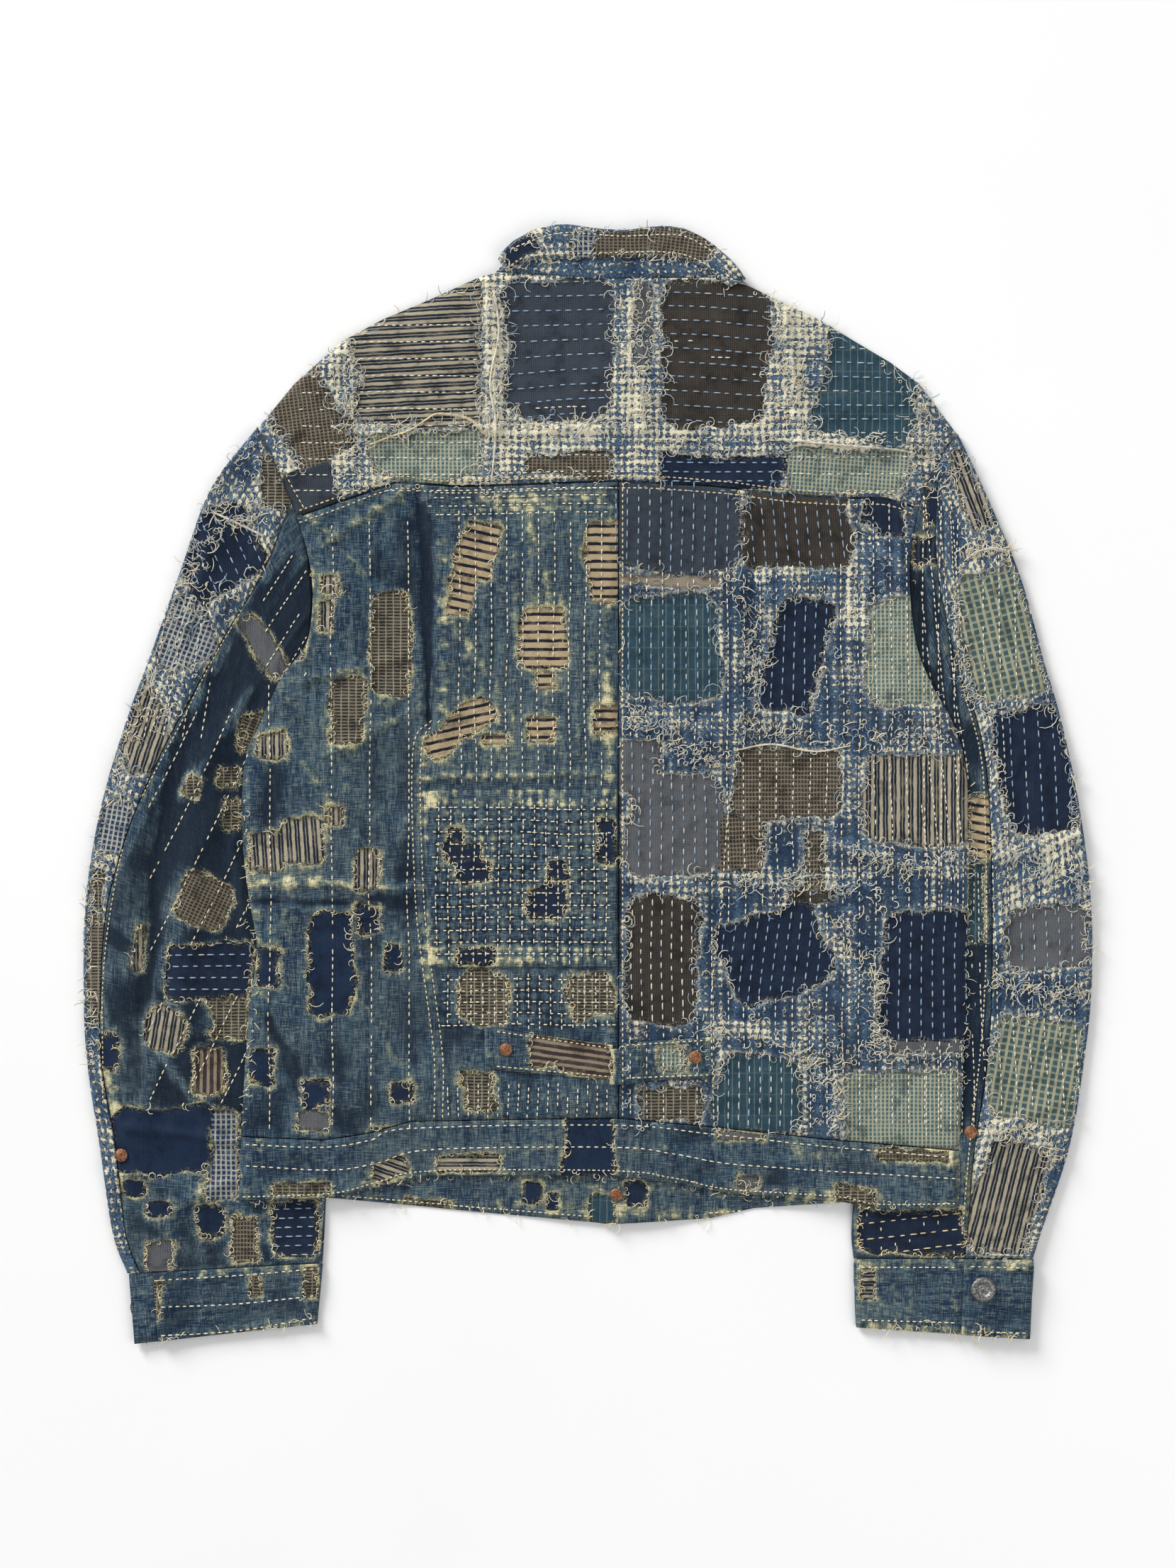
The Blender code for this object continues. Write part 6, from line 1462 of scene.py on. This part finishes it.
for pitch, tone, line, move in SEAM_ROWS:
    fine = along(line, np.linspace(0, 1, 400)) + move
    run = length_along(fine)
    at = np.arange(pitch / 2, run[-1], pitch)
    middle = np.stack([np.interp(at, run, fine[:, k]) for k in range(2)], 1)
    ahead = np.stack([np.interp(at + 2, run, fine[:, k]) - np.interp(at - 2, run,
                                                                     fine[:, k]) for k in range(2)], 1)
    middles.append(middle)
    ways.append(ahead / np.linalg.norm(ahead, axis=1, keepdims=True))
    tones.append(np.full(len(middle), tone))
    lengths.append(np.full(len(middle), pitch * STITCH_SHARE))
middles, ways = np.vstack(middles), np.vstack(ways)
tones, lengths = np.concatenate(tones), np.concatenate(lengths)
tones = np.clip(tones + chance.normal(0, 0.07, len(tones)), 0, 1)
lengths = lengths * chance.uniform(0.75, 1.2, len(lengths))
stitch_mesh("running_stitches", middles, ways, tones, lengths)

# Loose threads: frayed yarns that stand out of every torn edge, tufts along the rubbed seams and the
# outline, and the loops of the gauze. All are thin curled tubes rooted in the cloth.
THREAD_RADIUS = 0.00032
# Tufted lines. Columns of each: half width, threads, longest thread in metres, tone, points of the line
TUFTS = (
    (15, 150, 0.008, 0.40, ((697, 404), (697, 688))), (12, 110, 0.008, 0.42, ((490, 484), (490, 690))),
    (12, 110, 0.009, 0.40, ((692, 600), (880, 600))),
    (12, 90, 0.009, 0.42, ((500, 618), (600, 600), (690, 596))),
    (15, 90, 0.008, 0.36, ((1300, 560), (1330, 700))), (14, 110, 0.009, 0.40, ((905, 400), (905, 610))),
    (14, 120, 0.009, 0.42, ((1100, 420), (1130, 640))), (10, 80, 0.007, 0.45, ((930, 625), (1290, 618))),
    (14, 120, 0.009, 0.40, ((255, 700), (300, 640), (350, 620))),
    (14, 120, 0.009, 0.38, ((240, 850), (320, 740), (372, 740))),
    (14, 130, 0.009, 0.40, ((150, 1130), (220, 960), (300, 820))),
    (12, 120, 0.007, 0.40, ((128, 1200), (122, 1340), (132, 1500))),
    (10, 110, 0.009, 0.55, ((1362, 778), (1400, 770), (1441, 782))),
    (14, 130, 0.009, 0.36, ((1400, 1190), (1470, 1220), (1541, 1245))),
    (12, 110, 0.009, 0.40, ((1400, 1388), (1470, 1400), (1538, 1400))),
    (12, 100, 0.009, 0.50, ((1400, 1590), (1450, 1600), (1505, 1640))),
    (10, 90, 0.008, 0.45, ((1350, 790), (1362, 980), (1400, 1000))),
    (12, 120, 0.010, 0.40, ((1505, 900), (1530, 1180), (1540, 1400))),
    (14, 140, 0.009, 0.38, ((1040, 820), (1070, 930), (1060, 1040))),
    (12, 120, 0.009, 0.40, ((1040, 1030), (1200, 1040), (1350, 1040))),
    (12, 100, 0.009, 0.36, ((880, 1010), (940, 1030), (1010, 1080))),
    (12, 110, 0.009, 0.40, ((1030, 1250), (1130, 1240), (1240, 1270))),
    (12, 110, 0.009, 0.42, ((1170, 1300), (1230, 1380), (1240, 1480))),
    (12, 110, 0.009, 0.42, ((990, 1450), (1110, 1480), (1350, 1492))),
    (12, 100, 0.009, 0.40, ((1130, 1490), (1180, 1540), (1180, 1600))),
    (12, 100, 0.008, 0.40, ((1200, 1200), (1280, 1220), (1360, 1200))),
    (7, 120, 0.006, 0.55, ((340, 1696), (467, 1690), (534, 1674), (610, 1659), (866, 1658), (953, 1669),
     (1030, 1685), (1350, 1706))),
    (7, 110, 0.007, 0.62, ((190, 1894), (330, 1886), (446, 1868))),
    (6, 60, 0.009, 0.70, ((1208, 1872), (1300, 1878), (1450, 1888))),
    (6, 100, 0.007, 0.40, ((716, 370), (760, 330), (876, 324), (961, 322), (1020, 350), (1054, 396))),
    (6, 70, 0.006, 0.45, ((716, 384), (790, 366), (955, 365), (1030, 404))),
    (6, 80, 0.007, 0.66, ((440, 1692), (661, 1712), (865, 1729), (1004, 1721))),
    (8, 80, 0.008, 0.45, ((690, 388), (539, 450), (420, 536))),
    (8, 80, 0.008, 0.42, ((1060, 402), (1206, 478), (1345, 600))),
    (6, 70, 0.006, 0.62, ((345, 1100), (350, 1260), (360, 1400), (342, 1600))),
    (6, 70, 0.006, 0.5, ((1366, 1080), (1368, 1280), (1360, 1600))),
)
# Heavy torn cords on the surface. Columns: radius in metres, tone, points of the line
CORDS = (
    (0.0011, 0.78, ((523, 627), (552, 616), (580, 607), (602, 592), (620, 584), (661, 591), (684, 612))),
    (0.0012, 0.30, ((1362, 790), (1380, 778), (1402, 774), (1424, 780))),
    (0.0009, 0.5, ((1098, 620), (1180, 628), (1262, 634), (1292, 640))),
    (0.0009, 0.45, ((697, 410), (704, 470), (692, 540), (700, 600), (694, 680))),
    (0.0008, 0.5, ((300, 722), (335, 738), (372, 756))),
    (0.0008, 0.62, ((1040, 1058), (1090, 1050), (1150, 1060), (1200, 1052))),
)


def tubes(name, paths, radius, tone):
    """Thin tubes of three sides along paths of places, narrower at the tips."""
    count, points = paths.shape[:2]
    run = np.gradient(paths, axis=1)
    run /= np.maximum(np.linalg.norm(run, axis=-1, keepdims=True), 1e-9)
    side = np.cross(run, (0.0, 0.0, 1.0))
    side /= np.maximum(np.linalg.norm(side, axis=-1, keepdims=True), 1e-9)
    up = np.cross(side, run)
    taper = np.sin(np.linspace(0.25, 0.9, points) * math.pi)[None, :, None, None] ** 0.5
    angles = np.array((0.0, 2.094, 4.189))[None, None, :, None]
    ring = side[:, :, None] * np.sin(angles) + up[:, :, None] * np.cos(angles)
    vertices = paths[:, :, None] + ring * taper * np.reshape(radius, (-1, 1, 1, 1))
    pattern = []
    for k in range(points - 1):
        for m in range(3):
            pattern.append((3 * k + m, 3 * k + (m + 1) % 3, 3 * k + 3 + (m + 1) % 3, 3 * k + 3 + m))
    quads = (np.array(pattern)[None] + (np.arange(count) * points * 3)[:, None, None]).reshape(-1, 4)
    return thread_piece(name, vertices.reshape(-1, 3), np.full(len(quads), 4), quads.ravel(),
                        np.repeat(tone, points * 3))


def curled(start, heading, length, curl, rise, points=6):
    """Paths from start, whose heading turns by curl along their length and which rise and fall by rise."""
    t = np.linspace(0, 1, points)
    angle = heading[:, None] + curl[:, None] * t
    step = np.stack([np.cos(angle), np.sin(angle)], -1) * (length / (points - 1))[:, None, None]
    flat = start[:, None, :2] + np.concatenate([np.zeros((len(start), 1, 2)), np.cumsum(step, 1)[:, :-1]], 1)
    height = start[:, None, 2] + rise[:, None] * np.sin(t * 2.6) - 0.0001
    return np.concatenate([flat, height[..., None]], -1)


chance = np.random.default_rng(21)
starts, headings, tones = [], [], []
for name, (start, inward) in BOUNDARIES.items():
    keep = chance.random(len(start)) < 0.62
    starts.append(start[keep] + inward[keep] * chance.uniform(-0.0008, 0.0004, (keep.sum(), 1)))
    headings.append(np.arctan2(inward[keep, 1], inward[keep, 0]))
    gauzy = name.startswith(("yoke", "right_back", "left_outer", "right_outer", "collar"))
    tones.append(np.full(keep.sum(), 0.30 if gauzy else 0.66))
starts, headings, tones = np.vstack(starts), np.concatenate(headings), np.concatenate(tones)
total = len(starts)
headings = headings + chance.normal(0, 0.8, total)
lengths = (chance.gamma(3.0, 0.0011, total) + 0.0014) * np.where(tones < 0.5, 1.7, 1.0)
paths = curled(starts, headings, lengths, chance.choice((-1, 1), total) * chance.uniform(1.5, 5.0, total),
               chance.uniform(0.0002, 0.0010, total), 5)
paths[..., 2] = np.maximum(paths[..., 2], 0.0003)
tubes("torn_edge_threads", paths, chance.uniform(0.7, 1.3, total) * THREAD_RADIUS,
      np.clip(tones + chance.normal(0, 0.16, total), 0, 1))

points, longest, tones = [], [], []
for half, count, length, tone, line in TUFTS:
    at = even(line, chance.random(count)) + chance.normal(0, half * 0.6, (count, 2))
    points.append(at)
    longest.append(np.full(count, length))
    tones.append(np.full(count, tone))
points, longest, tones = np.vstack(points), np.concatenate(longest), np.concatenate(tones)
starts, there = dropped(points, 0.0002)
starts, longest, tones = starts[there], longest[there], tones[there]
total = len(starts)
paths = curled(starts, chance.uniform(0, 6.3, total), longest * chance.uniform(0.35, 1.3, total),
               chance.normal(0, 2.8, total), chance.uniform(0.0004, 0.0014, total), 6)
paths[..., 2] = np.maximum(paths[..., 2], 0.0003)
tubes("seam_tufts", paths, chance.uniform(0.7, 1.4, total) * THREAD_RADIUS,
      np.clip(tones + chance.normal(0, 0.2, total), 0, 1))

BACK_SETS = (BACK_RIGHT_WINDOWS, YOKE_WINDOWS)
areas = (
    (880, 700, 1290, 1590, 1100, BACK_RIGHT_WINDOWS), (390, 400, 1340, 690, 1300, YOKE_WINDOWS),
    (120, 620, 380, 1500, 1800, LEFT_UPPER_WINDOWS), (1330, 620, 1540, 1780, 900, RIGHT_UPPER_WINDOWS),
)
points = []
for left, top, right, bottom, count, windows in areas:
    at = chance.uniform((left, top), (right, bottom), (count, 2))
    left_seam = np.interp(at[:, 1], *np.transpose(LEFT_SLEEVE_SEAM)[::-1])
    right_seam = np.interp(at[:, 1], *np.transpose(RIGHT_SLEEVE_SEAM)[::-1])
    gauzy = (at[:, 0] < left_seam - 6) | (at[:, 0] > right_seam + 6) if windows not in BACK_SETS else True
    points.append(at[(window_field(at, windows)[0] < 0.2) & gauzy])
starts, there = dropped(np.vstack(points), 0.0001)
starts = starts[there]
total = len(starts)
paths = curled(starts, chance.uniform(0, 6.3, total), chance.uniform(0.004, 0.010, total),
               chance.choice((-1, 1), total) * chance.uniform(2.5, 6.5, total),
               chance.uniform(0.0004, 0.0013, total), 8)
tubes("gauze_loops", paths, chance.uniform(0.8, 1.3, total) * THREAD_RADIUS,
      np.clip(chance.normal(0.28, 0.16, total), 0, 0.8))

for number, (radius, tone, line) in enumerate(CORDS, 1):
    middle, _ = dropped(even(line, np.linspace(0, 1, 60)), radius * 0.6)
    paths = []
    for strand in range(4):
        turn = np.linspace(0, 26, 60) + strand * math.pi / 2
        paths.append(middle + np.stack([np.cos(turn), np.cos(turn), np.sin(turn)], 1) * radius * 0.5)
    tubes(f"torn_cord_{number}", np.array(paths), radius * 0.5, np.full(4, tone))

# Metal: worn copper rivets and buttons and the dull grey donut button, set through the cloth. Their solids
# are kept as the model has them, each set with one of two noise-toned metals.


def metal_material(label, deep, bright, rough):
    """Worn metal: two tones by noise, rougher where darker, with fine pits."""
    material = bpy.data.materials.new(label)
    material.use_nodes = True
    tree = material.node_tree
    shader = tree.nodes["Principled BSDF"]
    place = wire(tree, "ShaderNodeTexCoord").outputs["Object"]
    blotch = noise(tree, place, 700.0, 5.0, 0.7)
    pits = noise(tree, place, 2600.0, 3.0)
    tree.links.new(blend(tree, span(tree, blotch, 0.35, 0.65), deep, bright), shader.inputs["Base Color"])
    tree.links.new(span(tree, blotch, 0.3, 0.7, rough + 0.15, rough), shader.inputs["Roughness"])
    tree.links.new(wire(tree, "ShaderNodeBump", 0.5, 0.0003, None, pits).outputs[0], shader.inputs["Normal"])
    shader.inputs["Metallic"].default_value = 0.85
    return material


copper = metal_material("worn_copper", (0.10, 0.042, 0.024), (0.42, 0.20, 0.11), 0.42)
grey_metal = metal_material("dull_grey_metal", (0.07, 0.07, 0.07), (0.36, 0.36, 0.35), 0.42)
for node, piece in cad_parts.items():
    if "rivet" in node or "tack" in node or "button" in node:
        piece.material_slots[0].material = grey_metal if node.startswith("cuff_button") else copper

# Floor, light and camera: a plain pale floor, soft light from all round and from the upper left, and a
# camera that looks straight down with the photograph's frame of 830 by 1106 mm.
LENS = 100.0
SENSOR = 36.0
FRAME_HEIGHT = 2212 * PLAN_STEP
FLOOR_SIZE = 6.0
floor_mesh = bpy.data.meshes.new("pale_floor")
floor_mesh.from_pydata([(x * FLOOR_SIZE, y * FLOOR_SIZE, -0.0004) for x,
                        y in ((-1, -1), (1, -1), (1, 1), (-1, 1))],
                       [], [(0, 1, 2, 3)])
floor = bpy.data.objects.new("pale_floor", floor_mesh)
bpy.context.scene.collection.objects.link(floor)
paper = bpy.data.materials.new("pale_paper")
paper.use_nodes = True
paper_tree = paper.node_tree
paper_shader = paper_tree.nodes["Principled BSDF"]
paper_place = wire(paper_tree, "ShaderNodeTexCoord").outputs["Object"]
paper_colour = blend(paper_tree, noise(paper_tree, paper_place, 3.0), (0.86, 0.86, 0.86), (0.90, 0.90, 0.90))
paper_tree.links.new(paper_colour, paper_shader.inputs["Base Color"])
paper_shader.inputs["Roughness"].default_value = 0.9
floor_mesh.materials.append(paper)

world = bpy.data.worlds.new("studio")
bpy.context.scene.world = world
world.use_nodes = True
world.node_tree.nodes["Background"].inputs["Color"].default_value = (1.0, 1.0, 1.0, 1.0)
world.node_tree.nodes["Background"].inputs["Strength"].default_value = 0.50
for label, place, size, power in (("soft_left", (-4.3, 5.0, 3.0), 3.0, 620.0),
                                  ("soft_right", (1.6, -1.2, 2.0), 2.0, 20.0)):
    lamp = bpy.data.lights.new(label, "AREA")
    lamp.size = size
    lamp.energy = power
    light = bpy.data.objects.new(label, lamp)
    light.location = place
    away = np.array(place) / np.linalg.norm(place)
    light.rotation_euler = (math.acos(away[2]), 0.0, math.atan2(away[1], away[0]) + math.pi / 2)
    bpy.context.scene.collection.objects.link(light)
view = bpy.data.cameras.new("camera")
view.lens = LENS
view.sensor_fit = "VERTICAL"
view.sensor_height = SENSOR
camera = bpy.data.objects.new("camera", view)
camera.location = (0.0, 0.0015, FRAME_HEIGHT * LENS / SENSOR + 0.005)
bpy.context.scene.collection.objects.link(camera)
bpy.context.scene.camera = camera

bpy.context.scene.view_settings.view_transform = "Standard"
bpy.context.view_layer.update()
